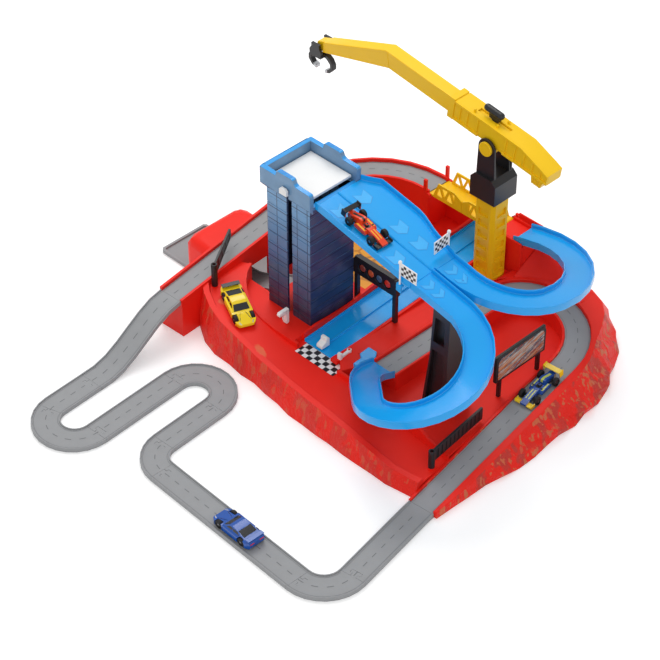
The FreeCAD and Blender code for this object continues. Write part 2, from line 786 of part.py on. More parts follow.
# Bridge block on the right, where the far ramp lands
block_end = 142.0
landing = box(bridge_right, block_end, bridge_y - half_bridge - 1, bridge_y + half_bridge + 1,
              0, road_top + 5)
landing = landing.cut([
    box(bridge_right - 1, block_end - 2.5, bridge_y - HALF_ROAD, bridge_y + HALF_ROAD,
        road_top, road_top + 9),
    box(bridge_right + WALL, block_end - WALL, bridge_y - half_bridge + 2, bridge_y + half_bridge - 2,
        -1, road_top - SHEET - WALL),
    box(block_end - 14, block_end + 1, bridge_y - HALF_ROAD, bridge_y + HALF_ROAD, road_top,
        road_top + 9),
])
guard = box(bridge_right + 8, block_end, bridge_y + half_bridge - 2, bridge_y + half_bridge + 1,
            road_top, road_top + 20)
landing = landing.fuse([guard] + bridge_lugs(bridge_right, -1)).cut([right_clear, loop_solid])
deck_body = deck_body.fuse(landing)
pieces = sorted(deck_body.Solids, key=lambda part: -part.Volume)
solid_part("deck", pieces[0])

# Grey road sheets
solid_part("high_road", grey(high, high_level))
solid_part("loop_road", grey(loop, loop_level))
tunnel = Route(bulge_back + 1, (tunnel_y0 + tunnel_y1) / 2, 0.0,
               [(-76.4 - bulge_back - 1,)]).refine(12.0)
tunnel_level = eased((0, 3.0), (60, 3.0), (tunnel.length, deck - 4))


def tunnel_section(s):
    z = tunnel_level(s)
    return [(23, max(0, z - 3)), (23, z + 3), (21, z + 3), (21, z), (-21, z), (-21, z + 3),
            (-23, z + 3), (-23, max(0, z - 3))]


solid_part("tunnel_road", moulding(tunnel, tunnel_section))

# Blue drag strip: two lanes with a rib between and rims


def strip_section(s):
    z = strip_level(s)
    low = z - strip_sheet + 0.04
    edge = half_strip - 0.25
    return [
        (edge, low), (edge, z + 3), (edge - 2, z + 3), (edge - 2, z), (1.2, z), (1.2, z + 2.4),
        (-1.2, z + 2.4), (-1.2, z), (-edge + 2, z), (-edge + 2, z + 3), (-edge, z + 3), (-edge, low),
    ]


solid_part("drag_strip", moulding(strip, strip_section))
rear_floor_plan = prism([(-118, 64), (left_edge - 1, 64), (left_edge - 1, 224), (-60, 224), (-118, 150)],
                        size("rear_floor"), size("rear_floor") + 2)
solid_part("rear_floor_sheet", rear_floor_plan)


# Flexible floor track: one ribbon, divided into pieces with T-shaped tabs

HALF_FLEX = size("flex_width") / 2
FLEX = size("flex_floor")
RIM = size("flex_rim")

slope_heading = -87.2
slope_run = (size("front_y") - 0.3 - size("first_run_y")) / math.sin(math.radians(-slope_heading))
flex_runs = [(slope_run,), (size("hairpin_radius"), 180.0)]
turn = math.radians(slope_heading)
x1 = size("high_start_x") + 0.01 + slope_run * math.cos(turn) + 2 * size("hairpin_radius") * -math.sin(turn)
up_run = size("second_run_y") - size("first_run_y")
flex_runs += [(up_run,), (size("corner_radius"), -180.0)]
flex = Route(size("high_start_x"), size("front_y") - 0.3, slope_heading, flex_runs)
ex, ey, ea, es = flex.end()
# down to the front run, left turn, front run, left turn, bent run back to the base
goal_x, goal_y = loop.end()[0], size("front_y") - 12.3
goal_heading = 180 + math.degrees(loop.end()[2]) % 360
front_heading = -1.8
exit_heading = size("flex_exit_heading")
turn_one = front_heading - math.degrees(ea) + (360 if front_heading - math.degrees(ea) < -180 else 0)
turn_one = (turn_one + 180) % 360 - 180
radius = size("corner_radius")


def after_bend(x, y, heading, bend_radius, angle):
    """Where a bend ends that starts at a point with a heading in degrees."""
    side = 1 if angle > 0 else -1
    a = math.radians(heading)
    b = math.radians(heading + angle)
    return (x + side * bend_radius * (math.sin(b) - math.sin(a)),
            y - side * bend_radius * (math.cos(b) - math.cos(a)), heading + angle)


run_heading = math.degrees(ea)
drop = (ey - radius * (1 - math.cos(math.radians(turn_one))) - size("front_run_y"))
down_run = drop / abs(math.sin(ea))
c1 = after_bend(ex + down_run * math.cos(ea), ey + down_run * math.sin(ea), run_heading, radius, turn_one)
turn_two = exit_heading - front_heading
last_bend = (math.degrees(loop.end()[2]) + 180) - exit_heading
last_radius = 300.0
# Solve the two free straight lengths so that the track meets the road end
mid = after_bend(0, 0, front_heading, radius + 5, turn_two)
tail = after_bend(0, 0, exit_heading, last_radius, last_bend)
end_y = loop.end()[1] - 0.3
dx = loop.end()[0] - c1[0] - mid[0] - tail[0]
dy = end_y - c1[1] - mid[1] - tail[1]
fa, fb = math.radians(front_heading), math.radians(exit_heading)
det = math.cos(fa) * math.sin(fb) - math.sin(fa) * math.cos(fb)
front_run = (dx * math.sin(fb) - dy * math.cos(fb)) / det
side_run = (dy * math.cos(fa) - dx * math.sin(fa)) / det
flex_runs += [(down_run,), (radius, turn_one), (front_run,), (radius + 5, turn_two),
              (side_run,), (last_radius, last_bend)]
flex = Route(size("high_start_x"), size("front_y") - 0.3, slope_heading, flex_runs, turn_step=14.0)
slope_end = size("front_y") - size("slope_foot_y")
marks = [s for x, y, a, s in flex.stations]
flex = flex.refine(24.0)
flex_level = eased((0, size("high_end_level")), (slope_end, FLEX), (flex.length, FLEX))


def flex_section(s):
    z = flex_level(s)
    low = z - FLEX
    return [
        (HALF_FLEX, low), (HALF_FLEX, z + 2), (HALF_FLEX - RIM, z + 2), (HALF_FLEX - RIM, z),
        (-HALF_FLEX + RIM, z), (-HALF_FLEX + RIM, z + 2), (-HALF_FLEX, z + 2), (-HALF_FLEX, low),
        (-HALF_FLEX + 2, low), (-HALF_FLEX + 2, z - 2.6), (HALF_FLEX - 2, z - 2.6), (HALF_FLEX - 2, low),
    ]


def tab(station, slack):
    """The T-shaped tab at a joint, grown by a slack on every side."""
    x, y, a, s = station
    outline = [(-4, -4 - slack), (5, -4 - slack), (5, -8 - slack), (10 + slack, -8 - slack),
               (10 + slack, 8 + slack), (5, 8 + slack), (5, 4 + slack), (-4, 4 + slack)]
    if slack:
        outline[1] = (5 - slack, -4 - slack)
        outline[2] = (5 - slack, -8 - slack)
        outline[5] = (5 - slack, 8 + slack)
        outline[6] = (5 - slack, 4 + slack)
    points = [(x + u * math.cos(a) - v * math.sin(a), y + u * math.sin(a) + v * math.cos(a))
              for u, v in outline]
    z = flex_level(s)
    return prism(points, z - 2.6 if not slack else z - 3, z - 0.3 if not slack else z + 0.4)


def nearest(distance):
    return min(range(len(flex.stations)), key=lambda i: abs(flex.stations[i][3] - distance))


bend_1 = slope_run
bend_2 = bend_1 + math.pi * size("hairpin_radius") + up_run
corner_1 = bend_2 + math.pi * size("corner_radius") + down_run
corner_1_end = corner_1 + abs(math.radians(turn_one)) * radius
corner_2 = corner_1_end + front_run
corner_2_end = corner_2 + abs(math.radians(turn_two)) * (radius + 5)
joints_at = [slope_end + 24, bend_1 + 10, bend_1 + math.pi * size("hairpin_radius"),
             bend_2, bend_2 + math.pi * size("corner_radius"), corner_1, corner_1_end,
             corner_1_end + front_run * 0.52, corner_2, corner_2_end]
cuts = [0] + [nearest(s) for s in joints_at] + [len(flex.stations) - 1]
half_gap = 0.1
for number_of, (first, last) in enumerate(zip(cuts, cuts[1:]), start=1):
    part_route = Route(0, 0, 0, [(1,)])
    part_route.stations = list(flex.stations[first:last + 1])
    piece = moulding(part_route, flex_section)
    ends = []
    for index, direction in ((first, 1), (last, -1)):
        x, y, a, s = flex.stations[index]
        if index in (0, len(flex.stations) - 1):
            continue
        points = [(x + u * math.cos(a) - v * math.sin(a), y + u * math.sin(a) + v * math.cos(a))
                  for u, v in ((-half_gap, -30), (half_gap, -30), (half_gap, 30), (-half_gap, 30))]
        z = flex_level(s)
        ends.append(prism(points, z - 9, z + 9))
    if last != len(flex.stations) - 1:
        piece = piece.cut(ends[-1])
        piece = piece.fuse(tab(flex.stations[last], 0))
    if first != 0:
        piece = piece.cut(ends[0])
        piece = piece.cut(tab(flex.stations[first], 0.15))
    solids = sorted(piece.Solids, key=lambda part: -part.Volume)
    solid_part("floor_track_%02d" % number_of, solids[0])

# Tower: pale blue lift shaft with brick courses

def chamfered(half_side):
    """A square outline with its corners cut off."""
    h, c = half_side, "Sizes.tower_corner*0.6"
    return [("-%s+%s" % (h, c), "-" + h), ("%s-%s" % (h, c), "-" + h), (h, "-%s+%s" % (h, c)),
            (h, "%s-%s" % (h, c)), ("%s-%s" % (h, c), h), ("-%s+%s" % (h, c), h),
            ("-" + h, "%s-%s" % (h, c)), ("-" + h, "-%s+%s" % (h, c))]


tower = new_body("tower_shell")
half = "Sizes.tower_side/2"
bore_half = "(Sizes.tower_side/2-Sizes.tower_wall)"
pad(tower, "XY_Plane", [rectangle("-" + half, half, "-" + half, half)], "Sizes.tower_height")
pocket(tower, "XY_Plane", [rectangle("-" + bore_half, bore_half, "-" + bore_half, bore_half)],
       "Sizes.tower_height+1", "Sizes.tower_height")
course = pocket(tower, "XY_Plane", [
    rectangle("-%s-1" % half, half + "+1", "-%s-1" % half, half + "+1"),
    rectangle("-%s+Sizes.course_groove" % half, half + "-Sizes.course_groove",
              "-%s+Sizes.course_groove" % half, half + "-Sizes.course_groove")],
    "1.3", "12.6")
pattern = tower.newObject("PartDesign::LinearPattern", "Courses")
pattern.Originals = [course]
pattern.Direction = (origin_plane(tower, "Z_Axis"), [""])
bind(pattern, "Length", "Sizes.tower_height-24")
bind(pattern, "Occurrences", "Sizes.course_count")
tower.Tip = pattern
doc.recompute()
slot_x = "(Sizes.lift_slot_x-Sizes.tower_x)"
pocket(tower, "XZ_Plane", [rectangle(slot_x + "-Sizes.lift_slot_width/2", slot_x + "+Sizes.lift_slot_width/2",
                                     "0", "Sizes.tower_height+1")], "8", half + "+1")
pocket(tower, "YZ_Plane", [rectangle("-26", "22", "0", "42")], "8", "-%s+6" % half)
tower.Placement.Base = V(size("tower_x"), size("tower_y"), deck)

parapet = new_body("tower_parapet")
wide = "Sizes.parapet_side/2"
inner = "(Sizes.parapet_side/2-Sizes.tower_wall)"
liner = "(Sizes.tower_side/2)"
hole = "(Sizes.tower_side/2-Sizes.tower_wall+0.2)"
pad(parapet, "XY_Plane", [chamfered(wide)], "Sizes.parapet_height")
pocket(parapet, "XY_Plane", [
    rectangle("-" + inner, inner, "-" + inner, inner),
    rectangle("-" + liner, liner, "-" + liner, liner)],
    "Sizes.parapet_height-3", "Sizes.parapet_height")
pocket(parapet, "XY_Plane", [rectangle("-%s-1" % liner, liner + "+1", "-%s-1" % liner, liner + "+1")],
       "Sizes.parapet_height-26", "Sizes.parapet_height")
pocket(parapet, "XY_Plane", [rectangle("-" + hole, hole, "-" + hole, hole)],
       "Sizes.parapet_height+1", "Sizes.parapet_height")
pocket(parapet, "XZ_Plane", [[
    ("14", "Sizes.parapet_height+1"), ("18", "Sizes.parapet_height-2"),
    ("22", "Sizes.parapet_height-Sizes.parapet_step+2"), ("26", "Sizes.parapet_height-Sizes.parapet_step"),
    (wide + "+1", "Sizes.parapet_height-Sizes.parapet_step"), (wide + "+1", "Sizes.parapet_height+1")]],
    "Sizes.parapet_side+2", wide + "+1")
pocket(parapet, "XZ_Plane", [[
    ("-%s-1" % wide, "Sizes.parapet_height+1"), ("-%s-1" % wide, "Sizes.parapet_height-8"),
    ("-38", "Sizes.parapet_height-8"), ("-34", "Sizes.parapet_height-6"), ("-30", "Sizes.parapet_height-2"),
    ("-26", "Sizes.parapet_height+1")]],
    "Sizes.parapet_side+2", wide + "+1")
pocket(parapet, "YZ_Plane", [rectangle("-%s+3" % inner, inner + "-3", "25", "Sizes.parapet_height+1")],
       "12", wide + "+1")
pocket(parapet, "XZ_Plane", [rectangle(slot_x + "-Sizes.lift_slot_width/2", slot_x + "+Sizes.lift_slot_width/2",
                                       "-1", "34")], "14", wide + "+1")
parapet.Placement.Base = V(size("tower_x"), size("tower_y"), deck + size("tower_height"))

lift = new_body("lift_platform")
lift_half = "(Sizes.tower_side/2-Sizes.tower_wall-0.4)"
pad(lift, "XY_Plane", [rectangle("-" + lift_half, lift_half, "-" + lift_half, lift_half)], "Sizes.lift_plate")
arm_half = "(Sizes.lift_slot_width/2-0.25)"
pad(lift, "XY_Plane", [rectangle(slot_x + "-" + arm_half, slot_x + "+" + arm_half, "-%s-3" % wide,
                                 "-%s+2" % lift_half)], "Sizes.lift_plate")
pad(lift, "XZ_Plane", [[
    (slot_x + "-7", "-1"), (slot_x + "+7", "-1"), (slot_x + "+7", "7"), (slot_x + "+4", "10"),
    (slot_x + "-4", "10"), (slot_x + "-7", "7")]], "4", wide + "+1.6")
lift.Placement.Base = V(size("tower_x"), size("tower_y"), 258.0)


def lever(name, x, y, z, turn_by, length):
    """A small white arm that turns on an upright pin and ends in a finger."""
    body = new_body(name)
    pad(body, "XY_Plane", [ring("0", "0", "3.4", 14), ("0", "0", "1.6+Sizes.shaft_gap")], "4")
    pad(body, "XY_Plane", [rectangle("3.0", str(length), "-2", "2")], "3")
    pad(body, "XY_Plane", [rectangle(str(length - 4), str(length), "-3", "3")], "10")
    body.Placement = FreeCAD.Placement(V(x, y, z), FreeCAD.Rotation(V(0, 0, 1), turn_by))
    return body


lever("tower_lever", -24, -66, deck, -70, 14)
lever("finish_lever", 88, -50, deck, -85, 22)

# Blue ramp deck

ramp = Route(ramp_x, ramp_mid, 0.0, [(fork_x - ramp_x,)]).refine(12.0)
flare = eased((0, 2.0), (26, size("ramp_flare") + 4), (90, size("ramp_flare") + 4), (150, 6.0),
              (ramp.length, 0.0))


def ramp_section(s):
    z = ramp_z(ramp_x + s)
    left = right_y - ramp_mid + LANE + flare(s)
    right = ramp_mid - left_y + LANE
    left_rim = hooked(left, z, 1)
    right_rim = hooked(right, z, -1)
    return (left_rim + [(left - RW, z - SKIRT), (left - RW, z - FLOOR), (-right + RW, z - FLOOR),
                        (-right + RW, z - SKIRT)] + right_rim[::-1]
            + [(-1.5, z), (-0.8, z + 2.0), (0.8, z + 2.0), (1.5, z)])


solid_part("ramp_deck", moulding(ramp, ramp_section))

def branch_section(level, inner_side):
    """Track section; the rim next to the other branch is plain and thin near the fork."""
    def section(s):
        z = level(s)
        return (hooked(LANE - 0.3, z, 1)
                + [(LANE - 0.3 - RW, z - SKIRT), (LANE - 0.3 - RW, z - FLOOR),
                   (-LANE + 0.3 + RW, z - FLOOR), (-LANE + 0.3 + RW, z - SKIRT)]
                + hooked(LANE - 0.3, z, -1)[::-1])
    return section


left_track = moulding(left_route, branch_section(left_level, 1))
right_track = moulding(right_route, branch_section(right_level, -1))
solid_part("left_branch_track", left_track)
solid_part("right_branch_track", right_track)

# Pillar under the fork


def leaning(levels_of):
    """A leaning block from (centre x, centre y, half x, front, rear, level) rows."""
    return skin([[V(cx - a, cy - front, z), V(cx + a, cy - front, z), V(cx + a, cy + rear, z),
                  V(cx - a, cy + rear, z)] for cx, cy, a, front, rear, z in levels_of])


pillar = leaning([(236, -14, 22, 25, 25, size("low_floor")), (244, -22, 16, 19, 19, 120),
                  (250, -28, 15, 16, 16, 214)])
left_filled = moulding(left_route, lambda s: [
    (LANE + 1, left_level(s) - FLOOR - 0.1), (LANE + 1, left_level(s) + 30),
    (-LANE - 1, left_level(s) + 30), (-LANE - 1, left_level(s) - FLOOR - 0.1)], stop=straight + 1)
pillar = pillar.cut(left_filled)
pillar = pillar.cut(box(200, 280, -60, -5, 205, 260).common(box(200, 280, -6.6, -5, 0, 300)))
recess = leaning([(236, -14, 15, 26, -18, size("low_floor") + 14), (243, -21, 10, 20.5, -12.5, 140),
                  (246, -25, 8, 19, -11, 190)])
core = leaning([(236, -10, 18.5, 17, 17, size("low_floor") - 1), (244, -18.5, 12.5, 11.5, 11.5, 120),
                (249, -25, 10, 9, 9, 196)])
pillar = pillar.cut([recess, core])
solid_part("track_pillar", pillar)

# Crane: column on a flange
column = new_body("crane_column")
pad(column, "XY_Plane", [("0", "0", "Sizes.flange_radius")], "4")
pocket(column, "XY_Plane", [rectangle("-30", "-18.6", "-30", "30")], "5", "4.5")
col = "Sizes.column_side/2"
cut_corner = "(Sizes.column_side/2-5)"
pad(column, "XY_Plane", [[
    (cut_corner, "-" + col), (col, "-" + cut_corner), (col, cut_corner), (cut_corner, col),
    ("-" + cut_corner, col), ("-" + col, cut_corner), ("-" + col, "-" + cut_corner),
    ("-" + cut_corner, "-" + col)]], "Sizes.column_height")
for role in ("XZ_Plane", "YZ_Plane"):
    for offset in (col + "+1", "-%s+3.5" % col):
        window = pocket(column, role, [rectangle("-9", "9", "12", "24")], "4.5", offset)
        pattern = column.newObject("PartDesign::LinearPattern", "Rungs")
        pattern.Originals = [window]
        pattern.Direction = (origin_plane(column, "Z_Axis"), [""])
        bind(pattern, "Length", "Sizes.column_height-42")
        bind(pattern, "Occurrences", "6")
        column.Tip = pattern
        doc.recompute()
pad(column, "XY_Plane", [("0", "0", "9")], "18", "Sizes.column_height")
pocket(column, "XY_Plane", [rectangle("-13", "13", "-13", "13")], "Sizes.column_height-8",
       "Sizes.column_height-8")
crane_x, crane_y = size("crane_x"), size("crane_y")
column.Placement.Base = V(crane_x, crane_y, deck)
column_top = deck + size("column_height")

# Black housing that swivels on the column and carries the boom between two ears
housing = new_body("swivel_housing")
hw = "Sizes.housing_width/2"
pad(housing, "XZ_Plane", [[
    ("-" + hw, "0.1"), (hw, "0.1"), (hw, "Sizes.housing_height-8"), (hw + "-8", "Sizes.housing_height"),
    ("-%s+8" % hw, "Sizes.housing_height"), ("-" + hw, "Sizes.housing_height-8")]],
    "Sizes.housing_width", "-Sizes.housing_width/2")
pocket(housing, "XY_Plane", [("0", "0", "9+Sizes.shaft_gap")], "19", "19")
ear_in = "(Sizes.boom_width/2+0.4)"
for offset in ("-%s-5.6" % ear_in, ear_in):
    pad(housing, "XZ_Plane", [[
        ("-16", "Sizes.housing_height-0.5"), ("16", "Sizes.housing_height-0.5"),
        ("11", "Sizes.pivot_rise+4"), ("6", "Sizes.pivot_rise+10"), ("-6", "Sizes.pivot_rise+10"),
        ("-11", "Sizes.pivot_rise+4")]], "5.6", offset)
pocket(housing, "XZ_Plane", [("0", "Sizes.pivot_rise", "Sizes.pivot_pin_radius")],
       "Sizes.housing_width+2", "Sizes.housing_width/2+1")
housing.Placement.Base = V(crane_x, crane_y, column_top)
pivot_z = column_top + size("pivot_rise")

pin = new_body("boom_pin")
pad(pin, "XZ_Plane", [("0", "0", "Sizes.pivot_pin_radius")], "Sizes.boom_width+12", "-Sizes.boom_width/2-6")
pad(pin, "XZ_Plane", [ring("0", "0", "11", 20)], "3.4", "Sizes.boom_width/2+6")
pad(pin, "XZ_Plane", [ring("0", "0", "11", 20)], "3.4", "-Sizes.boom_width/2-9.4")
pin.Placement.Base = V(crane_x, crane_y, pivot_z)

# The boom lies along its own +X; the placement turns it to face -X and tilts it
tilt = FreeCAD.Rotation(V(0, 0, 1), 180).multiply(FreeCAD.Rotation(V(0, 1, 0), -size("boom_tilt")))


def boom_place(along, rise, across=0.0):
    return FreeCAD.Placement(V(crane_x, crane_y, pivot_z) + tilt.multVec(V(along, across, rise)), tilt)


sleeve = new_body("boom_sleeve")
bh = "Sizes.boom_height/2"
lift_b = "Sizes.boom_lift"
pad(sleeve, "XZ_Plane", [[
    ("-Sizes.boom_tail", "%s-%s" % (lift_b, bh)), ("Sizes.boom_nose", "%s-%s" % (lift_b, bh)),
    ("Sizes.boom_nose", "%s+%s" % (lift_b, bh)), ("-Sizes.boom_tail+52", "%s+%s" % (lift_b, bh)),
    ("-Sizes.boom_tail+12", "%s+%s-12" % (lift_b, bh)), ("-Sizes.boom_tail", "%s+%s-16" % (lift_b, bh))]],
    "Sizes.boom_width", "-Sizes.boom_width/2")
pad(sleeve, "XZ_Plane", [[
    ("-13", "%s-%s+1" % (lift_b, bh)), ("-11", "-4"), ("-6", "-10.5"), ("6", "-10.5"), ("11", "-4"),
    ("13", "%s-%s+1" % (lift_b, bh))]], "Sizes.boom_width", "-Sizes.boom_width/2")
pad(sleeve, "YZ_Plane", [rectangle("-Sizes.boom_width/2-1.6", "Sizes.boom_width/2+1.6",
                                   "%s-%s-1.6" % (lift_b, bh), "%s+%s+1.6" % (lift_b, bh))], "10",
    "Sizes.boom_nose-10")
cav_w = "(Sizes.boom_width/2-Sizes.boom_wall)"
cav_h = "(Sizes.boom_height/2-Sizes.boom_wall)"
pocket(sleeve, "YZ_Plane", [rectangle("-" + cav_w, cav_w, "%s-%s" % (lift_b, cav_h),
                                      "%s+%s" % (lift_b, cav_h))],
       "Sizes.boom_nose+2+Sizes.inner_tail+Sizes.boom_travel", "Sizes.boom_nose+1")
slot_end = "(Sizes.boom_travel+Sizes.handle_radius+1)"
pocket(sleeve, "XY_Plane", [rectangle("Sizes.handle_x-" + slot_end, "Sizes.handle_x+" + slot_end,
                                      "-4", "4")], "8", "%s+%s+1" % (lift_b, bh))
pocket(sleeve, "XZ_Plane", [("0", "0", "Sizes.pivot_pin_radius+Sizes.shaft_gap")],
       "Sizes.boom_width+2", "Sizes.boom_width/2+1")
pocket(sleeve, "XZ_Plane", [rectangle("-Sizes.boom_tail+12.4", "-Sizes.boom_tail+50",
                                      "%s-%s-1" % (lift_b, bh), "%s-%s+15" % (lift_b, bh))],
       "14", "7")
pad(sleeve, "XZ_Plane", [("-Sizes.boom_tail+42", "%s-%s+4.5" % (lift_b, bh), "1.6")],
    "Sizes.boom_width-2", "-Sizes.boom_width/2+1")
sleeve.Placement = boom_place(0, 0)

inner_boom = new_body("boom_inner")
ih = "(Sizes.boom_height/2-Sizes.boom_wall-0.4)"
drop_x = "Sizes.tip_length*cos(Sizes.tip_drop)"
drop_z = "Sizes.tip_length*sin(Sizes.tip_drop)"
reach = "(Sizes.boom_nose+Sizes.inner_reach)"
pad(inner_boom, "XZ_Plane", [[
    ("-Sizes.inner_tail", "-" + ih), (reach + "-6", "-" + ih), ("%s+%s-4" % (reach, drop_x), "-%s-11" % drop_z),
    ("%s+%s" % (reach, drop_x), "-%s-4" % drop_z), ("%s+%s" % (reach, drop_x), "-%s+4" % drop_z),
    (reach + "+4", ih), ("-Sizes.inner_tail", ih)]],
    "2*%s-0.8" % cav_w, "-%s+0.4" % cav_w)
pocket(inner_boom, "XY_Plane", [rectangle("-Sizes.inner_tail+3", reach + "-14", "-8", "8")], "30", ih + "-2.4")
pocket(inner_boom, "XY_Plane", [("Sizes.handle_x", "0", "Sizes.handle_radius")], "5", ih + "+0.1")
for offset in ("-7.2", "%s+1" % cav_w):
    pocket(inner_boom, "XZ_Plane", [rectangle("%s+%s-15" % (reach, drop_x), "%s+%s+5" % (reach, drop_x),
                                              "-%s-30" % drop_z, "-%s+22" % drop_z)],
           cav_w + "-6.2", offset)
pocket(inner_boom, "XZ_Plane", [("%s+%s-4" % (reach, drop_x), "-%s-4" % drop_z, "2.4+Sizes.shaft_gap")],
       "60", "30")
inner_boom.Placement = boom_place(0, size("boom_lift"))

handle = new_body("boom_handle")
pad(handle, "XY_Plane", [ring("0", "0", "Sizes.handle_radius", 12)], "13")
pad(handle, "XY_Plane", [rectangle("-9", "9", "-3.6", "3.6")], "3", "6.5")
pad(handle, "XY_Plane", [rectangle("-5", "5", "-10", "10")], "6", "12")
handle.Placement = boom_place(size("handle_x"), size("boom_lift") + size("boom_height") / 2 - size("boom_wall") - 4)

trigger = new_body("tail_trigger")
pad(trigger, "XZ_Plane", [[("-16", "2"), ("12", "3"), ("16", "0"), ("12", "-4"), ("-2", "-10"),
                           ("-10", "-16"), ("-17", "-15")]], "12.6", "-6.3")
pocket(trigger, "XZ_Plane", [("10", "-0.5", "1.6+Sizes.shaft_gap")], "20", "10")
trigger.Placement = boom_place(-size("boom_tail") + 32, size("boom_lift") - size("boom_height") / 2 + 5)

# Claw: a head hung on the tip with two hooked jaws
down = FreeCAD.Placement(V(0, 0, 0), tilt)
elbow = size("boom_nose") + size("inner_reach")
drop = math.radians(size("tip_drop"))
claw_along = elbow + size("tip_length") * math.cos(drop) - 4
claw_rise = size("boom_lift") - size("tip_length") * math.sin(drop) - 4
head = new_body("claw_head")
pad(head, "XZ_Plane", [[("-11", "-14"), ("11", "-14"), ("12", "-4"), ("8", "2"), ("8", "8"), ("-8", "8"),
                        ("-8", "2"), ("-12", "-4")]], "30", "-15")
pocket(head, "YZ_Plane", [rectangle("-10.8", "10.8", "-9.9", "9")], "30", "15")
pocket(head, "YZ_Plane", [rectangle("-4.4", "4.4", "-15", "-8.4")], "30", "15")
for offset in ("-15", "5"):
    pad(head, "XZ_Plane", [ring("0", "0", "2.4", 12)], "10", offset)
pad(head, "XZ_Plane", [ring("-6", "-11.8", "1.3", 10), ring("6", "-11.8", "1.3", 10)], "28", "-14")
head.Placement = FreeCAD.Placement(boom_place(claw_along, claw_rise).Base, FreeCAD.Rotation(V(0, 0, 1), 180))
head_base = head.Placement.Base
for name, turned in (("claw_jaw_front", 0), ("claw_jaw_rear", 180)):
    jaw = new_body(name)
    pad(jaw, "XZ_Plane", [[("-3", "3"), ("2", "3"), ("14", "-4"), ("19", "-12"), ("19", "-20"),
                           ("12", "-28"), ("3", "-30"), ("3", "-26"), ("10", "-23"), ("13.5", "-18"),
                           ("13", "-12"), ("6", "-6"), ("-1", "-4")]], "8", "-4")
    pocket(jaw, "XZ_Plane", [("0", "0", "1.3+Sizes.shaft_gap")], "20", "10")
    spin = FreeCAD.Rotation(V(0, 0, 1), 180 + turned)
    jaw.Placement = FreeCAD.Placement(head_base + spin.multVec(V(6, 0, -11.8)), spin)


# Bridge: two truss leaves on pins
leaf_reach = "((Sizes.bridge_right_x-Sizes.bridge_left_x)/2-3.5-0.3)"
leaf_half = "(Sizes.bridge_width/2-0.1)"
for name, x, turned in (("bridge_leaf_left", bridge_left + 3.5, 0),
                        ("bridge_leaf_right", bridge_right - 3.5, 180)):
    leaf = new_body(name)
    pad(leaf, "XZ_Plane", [ring("0", "0", "3", 12)], "2*" + leaf_half, "-" + leaf_half)
    pad(leaf, "XZ_Plane", [rectangle("0", leaf_reach, "0", "3")], "2*" + leaf_half, "-" + leaf_half)
    for offset in ("-" + leaf_half, leaf_half + "-2.4"):
        pad(leaf, "XZ_Plane", [[("6", "2.5"), (leaf_reach, "2.5"), (leaf_reach, "3+Sizes.truss_height-8"),
                                (leaf_reach + "-14", "3+Sizes.truss_height"),
                                ("15", "3+Sizes.truss_height")]], "2.4", offset)
    pocket(leaf, "XZ_Plane", [
        [("12", "6"), ("24", "6"), ("17.5", "Sizes.truss_height-2")],
        [("21", "Sizes.truss_height-1"), ("34", "Sizes.truss_height-1"), ("27.5", "7")],
        [("31", "6"), ("44", "6"), ("37.5", "Sizes.truss_height-2")],
        [("41", "Sizes.truss_height-1"), (leaf_reach + "-14", "Sizes.truss_height-1"), ("47.5", "7")]],
        "Sizes.bridge_width+2", "Sizes.bridge_width/2+1")
    pocket(leaf, "XZ_Plane", [("0", "0", "Sizes.bridge_pin_radius+Sizes.shaft_gap")],
           "Sizes.bridge_width+2", "Sizes.bridge_width/2+1")
    leaf.Placement = FreeCAD.Placement(V(x, bridge_y, axis_z), FreeCAD.Rotation(V(0, 0, 1), turned))

# Start gantry over the strip
gantry = new_body("gantry_frame")
for x0 in ("-40", "34"):
    pad(gantry, "XZ_Plane", [rectangle(x0, x0 + "+6", "0", "76")], "6", "-3")
pad(gantry, "XZ_Plane", [[("-42", "48"), ("42", "48"), ("42", "72"), ("36", "78"), ("-36", "78"),
                          ("-42", "72")]], "8", "-4")
lamps = [ring(x, 62, 6.4, 12) for x in (-24, -8, 8, 24)]
pocket(gantry, "XZ_Plane", [ring(x, 62, 7.2, 12) for x in (-24, -8, 8, 24)], "3", "4")
pad(gantry, "XZ_Plane", lamps, "2.4", "0.5")
gantry.Placement.Base = V(strip_x, 40, deck)

# Flags that clip over the rims of the ramp
slope = math.degrees(math.atan((size("turn_level") - size("ramp_top")) / (size("left_turn_x") - ramp_x)))
flag_x = 180.0
for name, edge, out in (("flag_front", left_y - LANE, -1),
                        ("flag_rear", right_y + LANE + flare(flag_x - ramp_x), 1)):
    flag = new_body(name)
    pad(flag, "YZ_Plane", [[("-0.6", "0.2"), ("-0.6", "2.4"), ("5", "2.4"), ("5", "-8"), ("0.25", "-8"),
                            ("0.25", "0.2")]], "9", "-4.5")
    pad(flag, "XY_Plane", [ring("0", "2.6", "1.4", 8)], "40", "1")
    pad(flag, "XY_Plane", [ring("0", "2.6", "2.2", 8)], "3", "40")
    if out < 0:
        pad(flag, "XZ_Plane", [rectangle("-28", "0", "18", "38")], "1.2", "-3.2")
    else:
        pad(flag, "YZ_Plane", [rectangle("-25.4", "2.6", "18", "38")], "1.2", "-0.6")
    turned = FreeCAD.Rotation(V(0, 1, 0), -slope)
    if out > 0:
        lean = flare(flag_x - ramp_x + 1) - flare(flag_x - ramp_x)
        turned = FreeCAD.Rotation(V(0, 0, 1), math.degrees(math.atan(lean))).multiply(turned)
    if out < 0:
        turned = turned.multiply(FreeCAD.Rotation(V(0, 0, 1), 180))
    flag.Placement = FreeCAD.Placement(V(flag_x, edge, ramp_z(flag_x) + RIM_H), turned)

